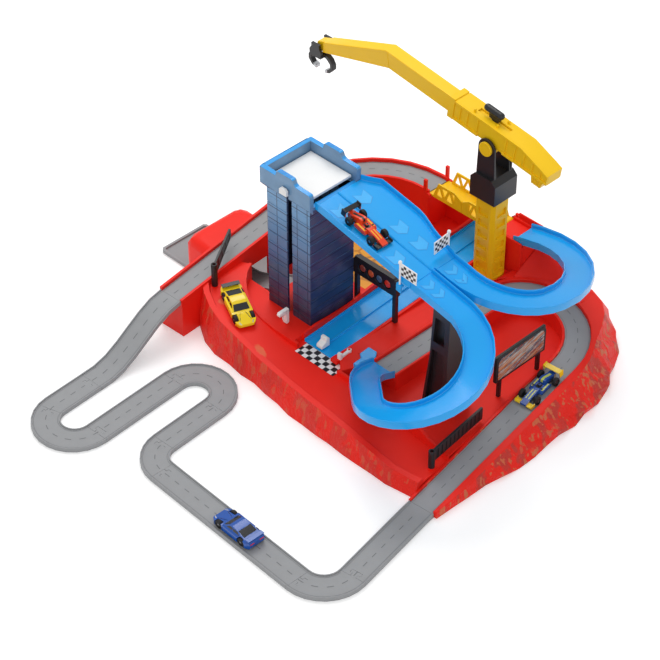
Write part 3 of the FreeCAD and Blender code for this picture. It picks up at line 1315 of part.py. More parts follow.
# Billboard on two legs beside the right road
board = new_body("billboard_frame")
for y0 in ("-42", "37"):
    pad(board, "YZ_Plane", [rectangle(y0, y0 + "+5", "0", "70")], "5", "-2.5")
pad(board, "YZ_Plane", [rectangle("-50", "50", "30", "74")], "4", "-2")
pocket(board, "YZ_Plane", [rectangle("-46.5", "46.5", "33.5", "70.5")], "2", "2")
board.Placement.Base = V(277, 86, size("low_floor"))

# Gates at both road ends of the front lane
gate = new_body("left_gate")
pad(gate, "XY_Plane", [ring("0", "0", "4.6", 16), ("0", "0", "2.4+Sizes.shaft_gap")], "38", "0.1")
pad(gate, "XZ_Plane", [[("3.9", "16"), ("78", "26"), ("80", "30"), ("78", "42"), ("3.9", "37")]], "3.2", "-1.6")
pocket(gate, "XZ_Plane", [
    [("10", "20"), ("20", "21.4"), ("16", "34"), ("10", "33.6")],
    [("26", "22.2"), ("38", "23.8"), ("34", "35.4"), ("22", "34.5")],
    [("44", "24.6"), ("56", "26.2"), ("52", "37"), ("40", "36")],
    [("62", "27"), ("73", "28.6"), ("71", "38.4"), ("58", "37.4")]], "1.6", "2.4")
gate.Placement = FreeCAD.Placement(V(gate_x, gate_y, gate_z), FreeCAD.Rotation(V(0, 0, 1), 121))
barrier = new_body("right_gate")
pad(barrier, "XY_Plane", [ring("0", "0", "4.6", 16), ("0", "0", "2.4+Sizes.shaft_gap")], "28", "0.1")
pad(barrier, "XZ_Plane", [rectangle("3.9", "110", "8", "28")], "3.2", "-1.6")
slats = [rectangle(str(x0), str(x0 + 4), "10.5", "25.5") for x0 in range(9, 106, 9)]
pocket(barrier, "XZ_Plane", slats, "1.6", "2.4")
barrier.Placement = FreeCAD.Placement(V(barrier_x, barrier_y, barrier_z), FreeCAD.Rotation(V(0, 0, 1), 96))

# Rear flap at the tunnel mouth
flap = new_body("rear_flap")
pad(flap, "XZ_Plane", [ring("0", "0", "3.2", 12)], "69.4", "-34.7")
pad(flap, "XY_Plane", [rectangle("-10", "0", "-34.7", "34.7")], "2.4", "-3.2")
pad(flap, "XY_Plane", [[("-66", "-40"), ("-62", "-44"), ("-8", "-44"), ("-8", "44"), ("-62", "44"),
                        ("-66", "40")]], "2.4", "-3.2")
pad(flap, "XY_Plane", [
    [("-66", "-40"), ("-62", "-44"), ("-8", "-44"), ("-8", "44"), ("-62", "44"), ("-66", "40")],
    [("-62", "-38"), ("-60", "-40"), ("-12", "-40"), ("-12", "40"), ("-60", "40"), ("-62", "38")]],
    "3", "-0.8")
pocket(flap, "XZ_Plane", [("0", "0", "1.6+Sizes.shaft_gap")], "72", "36")
flap.Placement.Base = V(flap_axis_x, flap_y, flap_axis_z)


# Cars: a body on two axles each

def wheel_set(name, radius, width, track):
    """Two wheels on one axle, along Y through the origin."""
    axle = new_body(name)
    inner_face = "%s/2-%s" % (track, width)
    pad(axle, "XZ_Plane", [("0", "0", "Sizes.axle_radius")], track + "-4", "-%s/2+2" % track)
    for offset in ("-%s/2" % track, inner_face):
        pad(axle, "XZ_Plane", [ring("0", "0", radius, 14)], width, offset)
    return axle


def coupe_body(name):
    """Low two-door car: side outline, tapered cabin and rounded plan."""
    car = new_body(name)
    half_length = "Sizes.car_length/2"
    half_width = "Sizes.car_width/2"
    pad(car, "XZ_Plane", [[
        ("-" + half_length, "4.5"), ("-%s+1" % half_length, "2.6"), (half_length + "-2", "2.6"),
        (half_length, "5"), (half_length + "-1.5", "8"), ("20", "10.8"), ("13", "11.6"), ("3", "17.2"),
        ("-4", "Sizes.car_height-0.6"), ("-12", "17"), ("-26", "13.4"), ("-%s+2" % half_length, "13"),
        ("-" + half_length, "11")]], "Sizes.car_width", "-Sizes.car_width/2")
    pocket(car, "XY_Plane", [
        [(half_length + "+1", half_width + "+1"), (half_length + "-9", half_width + "+1"),
         (half_length + "-9", half_width), (half_length + "-3.5", half_width + "-3"),
         (half_length + "+1", half_width + "-7.5")],
        [(half_length + "+1", "-%s-1" % half_width), (half_length + "-9", "-%s-1" % half_width),
         (half_length + "-9", "-" + half_width), (half_length + "-3.5", "-%s+3" % half_width),
         (half_length + "+1", "-%s+7.5" % half_width)],
        [("-%s-1" % half_length, half_width + "+1"), ("-%s+7" % half_length, half_width + "+1"),
         ("-%s+7" % half_length, half_width), ("-%s-1" % half_length, half_width + "-3.5")],
        [("-%s-1" % half_length, "-%s-1" % half_width), ("-%s+7" % half_length, "-%s-1" % half_width),
         ("-%s+7" % half_length, "-" + half_width), ("-%s-1" % half_length, "-%s+3.5" % half_width)],
    ], "30", "25")
    pocket(car, "YZ_Plane", [
        [(half_width + "+1", "11.4"), (half_width, "11.4"), (half_width + "-2.6", "12.4"),
         (half_width + "-5.6", "20"), (half_width + "+1", "20")],
        [("-%s-1" % half_width, "11.4"), ("-" + half_width, "11.4"), ("-%s+2.6" % half_width, "12.4"),
         ("-%s+5.6" % half_width, "20"), ("-%s-1" % half_width, "20")]], "Sizes.car_length+2",
        half_length + "+1")
    for offset in (half_width + "+0.5", "-%s+6.3" % half_width):
        pocket(car, "XZ_Plane", [
            ring("Sizes.wheelbase/2", "Sizes.wheel_radius", "(Sizes.wheel_radius+1.1)", 16),
            ring("-Sizes.wheelbase/2", "Sizes.wheel_radius", "(Sizes.wheel_radius+1.1)", 16)], "6.8", offset)
    bearing = "(Sizes.axle_radius+Sizes.shaft_gap)*1.052"
    pocket(car, "XZ_Plane", [
        ring("Sizes.wheelbase/2", "Sizes.wheel_radius", bearing, 10),
        ring("-Sizes.wheelbase/2", "Sizes.wheel_radius", bearing, 10)],
        "Sizes.car_width+2", half_width + "+1")
    return car


def racer_body(name):
    """Open-wheel car: slim tub with nose, wings and side pods."""
    car = new_body(name)
    pad(car, "XZ_Plane", [[
        ("-33", "4"), ("-30", "2.8"), ("30", "2.8"), ("37", "3.6"), ("37", "5.6"), ("20", "9"), ("6", "10.5"),
        ("2", "9"), ("-5", "9"), ("-7", "15"), ("-12", "15.4"), ("-26", "10"), ("-33", "9")]], "10", "-5")
    pad(car, "XZ_Plane", [[("-12", "3"), ("6", "3"), ("9", "5"), ("6", "8.6"), ("-10", "9.4"), ("-14.4", "6")]],
        "21", "-10.5")
    pad(car, "XZ_Plane", [[("29", "2.2"), ("37", "2.6"), ("37", "4.2"), ("29", "3.9")]], "28", "-14")
    for offset in ("-14", "12.8"):
        pad(car, "XZ_Plane", [rectangle("28", "37", "2.0", "6.4")], "1.2", offset)
        pad(car, "XZ_Plane", [[("-37", "8"), ("-28", "8"), ("-29", "18"), ("-37", "18")]], "1.2", offset)
    pad(car, "XZ_Plane", [[("-36.6", "15"), ("-29.6", "14"), ("-29.6", "15.4"), ("-36.6", "16.6")]], "27", "-13.5")
    pad(car, "XZ_Plane", [[("-35", "8"), ("-31", "8"), ("-31", "15"), ("-35", "16")]], "3", "-1.5")
    pad(car, "XY_Plane", [ring("-1", "0", "2.4", 8)], "4", "8.5")
    bearing = "(Sizes.axle_radius+Sizes.shaft_gap)*1.052"
    pocket(car, "XZ_Plane", [
        ring("Sizes.wheelbase/2", "Sizes.wheel_radius", bearing, 10),
        ring("-Sizes.wheelbase/2", "Sizes.wheel_radius", bearing, 10)],
        "Sizes.car_width+2", "Sizes.car_width/2+1")
    return car


def along(route, distance):
    """Plan point, heading and distance at a distance along a route."""
    for a, b in zip(route.stations, route.stations[1:]):
        if distance <= b[3]:
            share = (distance - a[3]) / (b[3] - a[3])
            return tuple(p + (q - p) * share for p, q in zip(a, b))
    return route.end()


def seat_on(level_at, x, y, heading):
    """Placement of a car with its wheels on a road, nose along the heading."""
    turn = math.radians(heading)
    ahead = (math.cos(turn), math.sin(turn))
    half_base = size("wheelbase") / 2
    half_track = size("car_width") / 2 - 3
    spots = []
    for u, v in ((half_base, half_track), (half_base, -half_track), (-half_base, half_track),
                 (-half_base, -half_track)):
        spots.append((u, v, level_at(x + u * ahead[0] - v * ahead[1], y + u * ahead[1] + v * ahead[0])))
    rise = sum(z * u for u, v, z in spots) / sum(u * u for u, v, z in spots)
    bank = sum(z * v for u, v, z in spots) / sum(v * v for u, v, z in spots)
    level = max(z - rise * u - bank * v for u, v, z in spots)
    turned = FreeCAD.Rotation(V(0, 0, 1), heading).multiply(
        FreeCAD.Rotation(V(0, 1, 0), -math.degrees(math.atan(rise)))).multiply(
        FreeCAD.Rotation(V(1, 0, 0), math.degrees(math.atan(bank))))
    return FreeCAD.Placement(V(x, y, level + 0.15), turned)


def on_ramp(x, y):
    return ramp_z(x)


def on_flex(x, y):
    return FLEX


def on_lane(x, y):
    """Level of the front lane at a place on its left bend."""
    turn = math.atan2(y - size("deck_edge_y") - lane_r, x - size("lane_bend_x"))
    return lane_level((turn - lane_start) * lane_r)


def on_descent(x, y):
    """Level of the loop road at a place on its descent."""
    end_x, end_y, angle, length = loop.end()
    back = (end_x - x) * math.cos(angle) + (end_y - y) * math.sin(angle)
    return loop_level(length - back)


racer = along(loop, wide_end + 60.0)
coupe = along(flex, corner_1_end + front_run * 0.575)
track_width = "Sizes.car_width-0.6"
CARS = [
    ("yellow_car", coupe_body, seat_on(on_lane, -78, -103.5, -22)),
    ("blue_car", coupe_body, seat_on(on_flex, coupe[0], coupe[1], 180 + front_heading)),
    ("red_racer", racer_body, seat_on(on_ramp, 92, -24, -3)),
    ("blue_racer", racer_body, seat_on(on_descent, racer[0], racer[1], math.degrees(racer[2]))),
]
for name, make, where in CARS:
    body = make(name)
    body.Placement = where
    for word, x in (("front_axle", size("wheelbase") / 2), ("rear_axle", -size("wheelbase") / 2)):
        axle = wheel_set("%s_%s" % (name, word), "Sizes.wheel_radius", "5.4", "(%s)" % track_width)
        axle.Placement = FreeCAD.Placement(where.multVec(V(x, 0, size("wheel_radius"))), where.Rotation)


# Shift everything to the home position and write the pieces

def shape_of(part):
    return part.Shape


doc.recompute()
total = FreeCAD.BoundBox()
for part in PARTS.values():
    total.add(part.Shape.BoundBox)
home = V(-total.Center.x, -total.Center.y, -total.ZMin)
print("home shift", home.x, home.y, home.z, "extent", total.XLength, total.YLength, total.ZLength)
for part in PARTS.values():
    part.Placement.Base = part.Placement.Base + home
doc.recompute()

os.makedirs("parts", exist_ok=True)
for name, part in PARTS.items():
    if "Invalid" in part.State or "Error" in part.State:
        raise RuntimeError("%s did not rebuild" % name)
    if part.Shape.isNull() or not part.Shape.isValid():
        raise RuntimeError("%s has no valid shape" % name)
    part.Shape.exportStep("parts/%s.step" % name)
print(len(PARTS), "pieces")
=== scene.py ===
"""Look of the toy race track: materials, printed details and the studio around it."""
import bpy
import bmesh
import json
import math
from mathutils import Matrix, Vector
from mathutils.bvhtree import BVHTree


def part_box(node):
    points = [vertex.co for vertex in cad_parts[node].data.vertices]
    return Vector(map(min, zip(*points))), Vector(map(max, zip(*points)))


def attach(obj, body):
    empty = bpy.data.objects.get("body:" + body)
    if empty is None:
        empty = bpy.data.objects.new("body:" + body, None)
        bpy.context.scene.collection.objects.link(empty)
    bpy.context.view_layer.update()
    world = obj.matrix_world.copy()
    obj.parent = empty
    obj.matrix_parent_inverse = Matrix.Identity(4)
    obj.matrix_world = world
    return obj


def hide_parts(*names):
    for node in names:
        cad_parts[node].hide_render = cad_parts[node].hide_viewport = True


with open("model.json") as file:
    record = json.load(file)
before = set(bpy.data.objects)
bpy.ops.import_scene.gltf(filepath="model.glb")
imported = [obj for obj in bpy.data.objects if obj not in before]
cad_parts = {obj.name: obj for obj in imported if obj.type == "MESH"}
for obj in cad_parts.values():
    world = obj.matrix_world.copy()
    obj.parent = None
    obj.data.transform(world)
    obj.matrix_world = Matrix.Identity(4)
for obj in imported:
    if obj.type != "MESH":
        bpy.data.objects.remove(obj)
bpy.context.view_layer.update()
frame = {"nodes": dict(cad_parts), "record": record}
nodes = frame["nodes"]
scene = bpy.context.scene

# The plan was laid out in millimetres; these two numbers bring it to the frame
HOME_X, HOME_Y = -40.751, 72.706
MM = 0.001
# Edges that turn by more than this stay sharp and get a soft bevel
SHARP = math.radians(34)
# Facets nearer to each other than this, in metres, are joined
WELD = 0.000004
# Marks are dropped on the roads from this height of the plan, above everything
DROP_FROM = 600


def place(x, y, z):
    """A point of the millimetre plan in the frame's metres."""
    return Vector(((x + HOME_X) * MM, (y + HOME_Y) * MM, z * MM))


# Materials

def set_color(socket, rgb):
    socket.default_value = (rgb[0], rgb[1], rgb[2], 1.0)


class Look:
    """A material with a principled shader and helpers to feed it detail."""

    def __init__(self, name, color, rough=0.4, specular=0.5, metallic=0.0):
        self.material = bpy.data.materials.new(name)
        self.material.use_nodes = True
        self.tree = self.material.node_tree
        self.shader = self.tree.nodes["Principled BSDF"]
        self.color = color
        set_color(self.shader.inputs["Base Color"], color)
        for socket, value in (("Roughness", rough), ("Specular IOR Level", specular),
                              ("Metallic", metallic)):
            self.shader.inputs[socket].default_value = value
        self.bumps = None

    def node(self, kind, **inputs):
        made = self.tree.nodes.new(kind)
        for name, value in inputs.items():
            made.inputs[name.replace("_", " ")].default_value = value
        return made

    def link(self, a, b):
        self.tree.links.new(a, b)

    def feed(self, value, socket):
        """A number or colour goes on the socket, an output is linked to it."""
        if hasattr(value, "is_linked"):
            self.link(value, socket)
        elif isinstance(value, (tuple, list)):
            set_color(socket, value)
        else:
            socket.default_value = value

    def math(self, kind, a, b=0.0):
        made = self.node("ShaderNodeMath")
        made.operation = kind
        self.feed(a, made.inputs[0])
        self.feed(b, made.inputs[1])
        return made.outputs[0]

    def times(self, *values):
        made = values[0]
        for value in values[1:]:
            made = self.math("MULTIPLY", made, value)
        return made

    def total(self, a, b, shares=None):
        """Sum of two values, each times its own share."""
        if shares:
            a, b = self.times(a, shares[0]), self.times(b, shares[1])
        return self.math("ADD", a, b)

    def highest(self, a, b):
        return b if a is None else self.math("MAXIMUM", a, b)

    def normal(self):
        """X, Y and Z share of the way a face looks."""
        return self.axes(self.node("ShaderNodeNewGeometry").outputs["Normal"])

    def position(self):
        return self.node("ShaderNodeTexCoord").outputs["Object"]

    def axes(self, vector=None):
        split = self.node("ShaderNodeSeparateXYZ")
        self.link(vector or self.position(), split.inputs[0])
        return split.outputs

    def local(self, matrix):
        """Position in a car's own millimetres."""
        mapping = self.node("ShaderNodeMapping", Location=matrix.to_translation(),
                            Rotation=matrix.to_euler(), Scale=(MM, MM, MM))
        mapping.vector_type = "TEXTURE"
        self.link(self.position(), mapping.inputs["Vector"])
        return self.axes(mapping.outputs["Vector"])

    def noise(self, scale, detail=3.0, roughness=0.5, vector=None):
        made = self.node("ShaderNodeTexNoise", Scale=scale, Detail=detail, Roughness=roughness)
        self.link(vector or self.position(), made.inputs["Vector"])
        return made.outputs["Fac"]

    def ramp(self, value, low, high):
        """0 below low, 1 above high."""
        span = self.node("ShaderNodeMapRange", From_Min=low, From_Max=high)
        self.link(value, span.inputs["Value"])
        return span.outputs["Result"]

    def inside(self, value, low, high, soft=0.3):
        """1 where the value lies between two limits."""
        above = self.ramp(value, low - soft, low)
        below = self.ramp(value, high + soft, high)
        return self.math("MULTIPLY", above, below)

    def blend(self, share, a, b):
        mix = self.tree.nodes.new("ShaderNodeMix")
        mix.data_type = "RGBA"
        self.feed(share, mix.inputs["Factor"])
        self.feed(a, mix.inputs[6])
        self.feed(b, mix.inputs[7])
        return mix.outputs[2]

    def paint(self, value):
        self.link(value, self.shader.inputs["Base Color"])
        return self

    def base(self):
        """What feeds the base colour so far."""
        socket = self.shader.inputs["Base Color"]
        return socket.links[0].from_socket if socket.is_linked else tuple(socket.default_value)[:3]

    def over(self, share, color):
        """Paint a colour over the base where the share is 1."""
        self.paint(self.blend(share, self.base(), color))

    def mottle(self, scale, amount):
        """Slow change of the colour over the surface."""
        dark = [max(0.0, c * (1 - amount)) for c in self.color]
        light = [min(1.0, c * (1 + amount)) for c in self.color]
        return self.paint(self.blend(self.noise(scale), dark, light))

    def bump(self, height, strength, distance):
        made = self.node("ShaderNodeBump", Strength=strength, Distance=distance)
        self.link(height, made.inputs["Height"])
        if self.bumps is not None:
            self.link(self.bumps, made.inputs["Normal"])
        self.bumps = made.outputs["Normal"]
        self.link(self.bumps, self.shader.inputs["Normal"])
        return self

    def grain(self, scale, strength, distance, gloss):
        """Fine bumps, and with them a small change of the gloss."""
        noise = self.noise(scale, 4.0)
        self.bump(noise, strength, distance)
        rough = self.shader.inputs["Roughness"]
        span = self.node("ShaderNodeMapRange", To_Min=max(0.02, rough.default_value - gloss),
                         To_Max=min(1.0, rough.default_value + gloss))
        self.link(noise, span.inputs["Value"])
        self.link(span.outputs["Result"], rough)
        return self


# Fine grain of a surface: scale, strength, depth in metres, change of the gloss
SATIN = (900, 0.08, 0.0002, 0.04)
POLISHED = (1500, 0.04, 0.0001, 0.03)
METAL = (1500, 0.1, 0.0001, 0.06)
CLEAR = (500, 0.05, 0.0001, 0.03)
ROADWAY = (2400, 0.2, 0.0002, 0.05)
RED = (0.90, 0.020, 0.010)
BLACK = (0.012, 0.012, 0.014)
red = Look("red moulding", RED, 0.44, 0.20).mottle(14, 0.08).grain(900, 0.10, 0.0002, 0.05)
grey = Look("grey road", (0.31, 0.315, 0.325), 0.60, 0.35).mottle(60, 0.06).grain(
    2200, 0.25, 0.0003, 0.05)
blue = Look("track blue", (0.006, 0.37, 0.87), 0.20, 0.45).mottle(10, 0.05).grain(*CLEAR)
white = Look("white plastic", (0.86, 0.86, 0.85), 0.38).mottle(30, 0.03).grain(*SATIN)
yellow = Look("yellow plastic", (0.94, 0.58, 0.008), 0.34, 0.30).mottle(25, 0.05).grain(*SATIN)
black = Look("black plastic", BLACK, 0.38).mottle(40, 0.2).grain(1200, 0.12, 0.0002, 0.05)
steel = Look("steel pin", (0.55, 0.56, 0.58), 0.3, 0.5, 1.0).grain(*METAL)
silver = Look("silver tip", (0.50, 0.51, 0.53), 0.32, 0.5, 0.7).grain(*METAL)
rubber = Look("tyre rubber", (0.014, 0.014, 0.015), 0.6, 0.3).mottle(300, 0.3).grain(
    2600, 0.3, 0.0002, 0.06)
glass = Look("dark window", (0.010, 0.011, 0.014), 0.10, 0.6).mottle(90, 0.3).grain(*POLISHED)
# Lighter blue of the raised chevrons: a painted reflection on their tops
track_sheen = Look("raised track mark", (0.030, 0.43, 0.90), 0.30).mottle(120, 0.06).grain(
    1800, 0.2, 0.0002, 0.05)
track_line = Look("track groove", (0.004, 0.24, 0.66), 0.35).mottle(120, 0.06).grain(
    1800, 0.1, 0.0001, 0.05)
road_dash = Look("road dash", (0.165, 0.168, 0.175), 0.65, 0.3).mottle(150, 0.1).grain(*ROADWAY)
road_edge = Look("road edge", (0.225, 0.23, 0.24), 0.6, 0.3).mottle(150, 0.1).grain(*ROADWAY)


def rock(name, outward, limits, contrast):
    """Red moulding whose steep outer faces are cast as rock, with darker patches and with painted
    highlights along its ridges.

    Each limit (x share, y share, low, high) starts the rock where that share of the place passes
    from low to high, so that inner walls of the same part stay smooth.
    """
    look = Look(name, RED, 0.44, 0.20).mottle(14, 0.08)
    face = look.normal()
    facing = look.total(face[0], face[1], outward)
    steep = look.ramp(look.math("ABSOLUTE", face[2]), 0.93, 0.80)
    share = look.times(steep, look.ramp(facing, -0.05, 0.15))
    x, y, _ = look.axes()
    reach = None
    for x_share, y_share, low, high in limits:
        reach = look.highest(reach, look.ramp(look.total(x, y, (x_share, y_share)), low, high))
    share = look.times(share, reach)
    # The pattern wobbles in place and is stretched upward, as in cast rock
    wobble = look.node("ShaderNodeTexNoise", Scale=24.0, Detail=4.0)
    look.link(look.position(), wobble.inputs["Vector"])
    pushed = look.node("ShaderNodeVectorMath")
    pushed.operation = "MULTIPLY_ADD"
    look.link(wobble.outputs["Color"], pushed.inputs[0])
    pushed.inputs[1].default_value = (0.012, 0.012, 0.020)
    look.link(look.position(), pushed.inputs[2])
    stretched = look.node("ShaderNodeMapping", Scale=(1.0, 1.0, 0.26))
    look.link(pushed.outputs[0], stretched.inputs["Vector"])
    coarse = look.noise(62.0, 3.0, 0.55, stretched.outputs["Vector"])
    fine = look.noise(210.0, 5.0, 0.6)
    relief = look.total(coarse, fine, (1.6, 0.45))
    look.bump(look.times(relief, share), 0.85, 0.0050)
    patch = look.ramp(look.noise(40.0, 3.0, 0.5, stretched.outputs["Vector"]), 0.50, 0.56)
    look.over(look.times(patch, share, 0.75 * contrast), (0.47, 0.050, 0.038))
    # Thin lighter streaks: painted highlights along the ridges of the rock
    ridge_highlight_noise = look.noise(118.0, 2.5, 0.5, stretched.outputs["Vector"])
    thin = look.ramp(look.total(ridge_highlight_noise, look.times(fine, 0.06)), 0.605, 0.635)
    look.over(look.times(thin, share, 0.9 * contrast), (0.66, 0.155, 0.065))
    return look


front_rock = rock("front rock", (-0.42, -0.91),
                  ((0.0, -1.0, 0.056, 0.062), (-0.42, -0.91, 0.086, 0.092)), 0.45)
right_rock = rock("right rock", (0.98, 0.20), ((1.0, 0.0, 0.240, 0.247),), 1.0)
rear_rock = rock("rear rock", (-0.35, 0.94), ((0.0, 1.0, 0.10, 0.12), (-1.0, 0.0, 0.20, 0.21)),
                 0.22)
# Two painted highlights, soft reflections, on the smooth front lane
for x, y, long, wide, turn in ((-3, -132, 17, 8, -22), (-100, -106, 9, 13, -30)):
    look = front_rock
    centre = place(x, y, 0)
    out = look.axes()
    dx = look.math("SUBTRACT", out[0], centre.x)
    dy = look.math("SUBTRACT", out[1], centre.y)
    c, s = math.cos(math.radians(turn)), math.sin(math.radians(turn))
    u = look.total(dx, dy, (c / (long * MM), s / (long * MM)))
    v = look.total(dy, dx, (c / (wide * MM), -s / (wide * MM)))
    reach = look.total(u, v, (u, v))
    painted_glint = look.ramp(look.total(reach, look.noise(220, 4)), 1.35, 0.95)
    look.over(look.times(painted_glint, 0.5), (0.78, 0.26, 0.10))


PANE_WIDE, PANE_HIGH, PANE_JOINT = 0.0196, 0.0216, 0.00075
TOWER_FOOT, TOWER_X, TOWER_Y = 41.05, -71, -50.5


def brick(name, colors):
    """Tinted plastic with moulded panes, painted with light and shade: dark at the foot, pale at
    the top, darker on the sides that face along X.
    """
    look = Look(name, colors[0], 0.30, 0.40)
    x, y, z = look.axes()
    rise = look.math("SUBTRACT", z, TOWER_FOOT * MM)
    face = look.normal()
    joints = None
    # Panes side by side on the front and rear, only courses on the other two sides
    for across, facing, width in (
            (look.math("SUBTRACT", x, (HOME_X + TOWER_X) * MM), face[1], PANE_WIDE),
            (look.math("SUBTRACT", y, (HOME_Y + TOWER_Y) * MM), face[0], 0.2)):
        grid = look.node("ShaderNodeCombineXYZ")
        look.link(across, grid.inputs[0])
        look.link(rise, grid.inputs[1])
        bricks = look.node("ShaderNodeTexBrick", Scale=1.0, Mortar_Size=PANE_JOINT,
                           Mortar_Smooth=0.15, Brick_Width=width, Row_Height=PANE_HIGH)
        bricks.offset = 0.0
        look.link(grid.outputs[0], bricks.inputs["Vector"])
        seen = look.ramp(look.math("ABSOLUTE", facing), 0.6, 0.8)
        joints = look.highest(joints, look.times(bricks.outputs["Fac"], seen))
    # Painted light and shade: darker towards the foot, paler towards the top
    lit_and_shaded_tint = look.blend(look.ramp(z, 0.060, 0.140), colors[0], colors[1])
    lit_and_shaded_tint = look.blend(look.ramp(z, 0.130, 0.235), lit_and_shaded_tint, colors[2])
    # Faces that look along X are painted darker: painted shade on the tower's sides
    side = look.times(look.ramp(look.math("ABSOLUTE", face[0]), 0.3, 0.9), 0.80)
    lit_and_shaded_tint = look.blend(side, lit_and_shaded_tint, (0.016, 0.030, 0.105))
    haze = look.times(look.ramp(look.noise(42, 3.0), 0.45, 0.75), 0.35)
    look.paint(look.blend(haze, lit_and_shaded_tint, (0.14, 0.15, 0.20)))
    look.over(look.times(joints, 0.85), (0.004, 0.012, 0.05))
    look.bump(joints, -0.4, 0.0007)
    look.grain(600, 0.05, 0.0001, 0.04)
    return look


# Foot, middle and top colours of the tower: painted shade low down, painted light at the top
tower = brick("tower blue", ((0.036, 0.032, 0.066), (0.075, 0.145, 0.30), (0.17, 0.36, 0.60)))
parapet = Look("parapet blue", (0.16, 0.31, 0.50), 0.20, 0.5).mottle(60, 0.22).grain(*CLEAR)
parapet.over(parapet.ramp(parapet.normal()[2], 0.55, 0.75), (0.030, 0.36, 0.86))
parapet.shader.inputs["Alpha"].default_value = 0.90

orange = Look("orange sheet", (0.86, 0.40, 0.02), 0.45).mottle(40, 0.08).grain(
    900, 0.1, 0.0002, 0.04)
cracks = orange.node("ShaderNodeTexVoronoi", Scale=44.0)
cracks.feature = "DISTANCE_TO_EDGE"
orange.link(orange.position(), cracks.inputs["Vector"])
orange.over(orange.times(orange.ramp(cracks.outputs["Distance"], 0.10, 0.04), 0.55),
            (0.30, 0.07, 0.01))


# Whole squares added to each count, so that none is below zero
ALWAYS_ABOVE = 1000.0


def checks(name, size):
    """Black and white squares in plan."""
    look = Look(name, (0.9, 0.9, 0.9), 0.35)
    out = look.axes()
    counts = []
    for axis in (0, 1):
        step = look.math("MULTIPLY_ADD", out[axis], 1.0 / size)
        step.node.inputs[2].default_value = ALWAYS_ABOVE
        counts.append(look.math("FLOOR", step))
    odd = look.math("MODULO", look.total(*counts), 2.0)
    look.paint(look.blend(odd, (0.015, 0.015, 0.018), (0.88, 0.88, 0.88)))
    return look.grain(900, 0.06, 0.0001, 0.03)


# Soft edges on every part that is carried over

def joined_facets():
    """A node group that joins the facets and leaves sharp only the real edges."""
    group = bpy.data.node_groups.new("joined facets", "GeometryNodeTree")
    group.interface.new_socket("Geometry", in_out="INPUT", socket_type="NodeSocketGeometry")
    group.interface.new_socket("Geometry", in_out="OUTPUT", socket_type="NodeSocketGeometry")
    made = group.nodes.new
    start, end = made("NodeGroupInput"), made("NodeGroupOutput")
    bare = made("GeometryNodeRemoveAttribute")
    bare.inputs["Name"].default_value = "custom_normal"
    weld = made("GeometryNodeMergeByDistance")
    weld.inputs["Distance"].default_value = WELD
    smooth = made("GeometryNodeSetShadeSmooth")
    sharp = made("GeometryNodeSetShadeSmooth")
    sharp.domain = "EDGE"
    sharp.inputs["Shade Smooth"].default_value = False
    angle = made("GeometryNodeInputMeshEdgeAngle")
    wide = made("FunctionNodeCompare")
    wide.inputs[1].default_value = SHARP
    group.links.new(angle.outputs["Unsigned Angle"], wide.inputs[0])
    group.links.new(wide.outputs[0], sharp.inputs["Selection"])
    for a, b in ((start, bare), (bare, weld), (weld, smooth), (smooth, sharp), (sharp, end)):
        group.links.new(a.outputs[0], b.inputs[0])
    return group


joined = joined_facets()


def soften(obj, width):
    facets = obj.modifiers.new("joined facets", "NODES")
    facets.node_group = joined
    bevel = obj.modifiers.new("soft edges", "BEVEL")
    bevel.width = width * MM
    bevel.segments = 2
    bevel.limit_method = "ANGLE"
    bevel.angle_limit = SHARP
    weighted = obj.modifiers.new("flat faces stay flat", "WEIGHTED_NORMAL")
    weighted.keep_sharp = True


def wear(obj, look):
    """Give an object one look in place of what it had."""
    obj.data.materials.clear()
    obj.data.materials.append(look.material)


by_slot = {
    "red_plastic": red, "road_grey": grey, "track_blue": blue, "tower_blue": tower,
    "white_plastic": white, "yellow_plastic": yellow, "black_plastic": black,
    "orange_floor": orange, "wheel_black": rubber, "car_yellow": yellow, "car_blue": blue,
    "car_red": red,
}
by_node = {"front_lane": front_rock, "right_road_bank": right_rock, "rear_road_wall": rear_rock}
# Width in millimetres of the soft edges; every other part has the plain one
PLAIN_EDGE = 0.45
edge_width = {"front_lane": 1.0, "right_road_bank": 1.0, "rear_road_wall": 1.0, "deck": 0.8,
              "left_branch_track": 0.9, "right_branch_track": 0.9, "ramp_deck": 0.9,
              "boom_inner": 0.8, "boom_sleeve": 0.3, "swivel_housing": 1.0}
slot_of = {entry["node"]: entry["material_slot"] for entry in frame["record"]["subparts"]}
body_of = {n: body for body, names in frame["record"]["behaviour"]["bodies"].items() for n in names}
for name, obj in nodes.items():
    wear(obj, by_node.get(name, by_slot[slot_of[name]]))
    soften(obj, edge_width.get(name, PLAIN_EDGE))


# Building pieces

def added(name, data):
    obj = bpy.data.objects.new(name, data)
    scene.collection.objects.link(obj)
    return obj


def piece(name, mesh, look, body, edge=None):
    """A finished mesh as a piece of the set that rides on one body."""
    obj = added(name, mesh)
    mesh.materials.append(look.material)
    if edge:
        soften(obj, edge)
    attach(obj, body)
    return obj


def made_mesh(name, bm):
    mesh = bpy.data.meshes.new(name)
    bm.to_mesh(mesh)
    bm.free()
    return mesh


def solid(name, bm, look, body, edge=None):
    """A piece from closed shapes, all with their faces turned outward."""
    bmesh.ops.recalc_face_normals(bm, faces=bm.faces)
    return piece(name, made_mesh(name, bm), look, body, edge)


def rounded(obj):
    """Shade all faces smooth."""
    for face in obj.data.polygons:
        face.use_smooth = True


def within(matrix, x, y, z):
    """A point of a matrix's own millimetres."""
    return matrix @ Vector((x * MM, y * MM, z * MM))


def in_metres(profile):
    return [(r * MM, h * MM) for r, h in profile]


def about(axis, degrees):
    return Matrix.Rotation(math.radians(degrees), 4, axis)


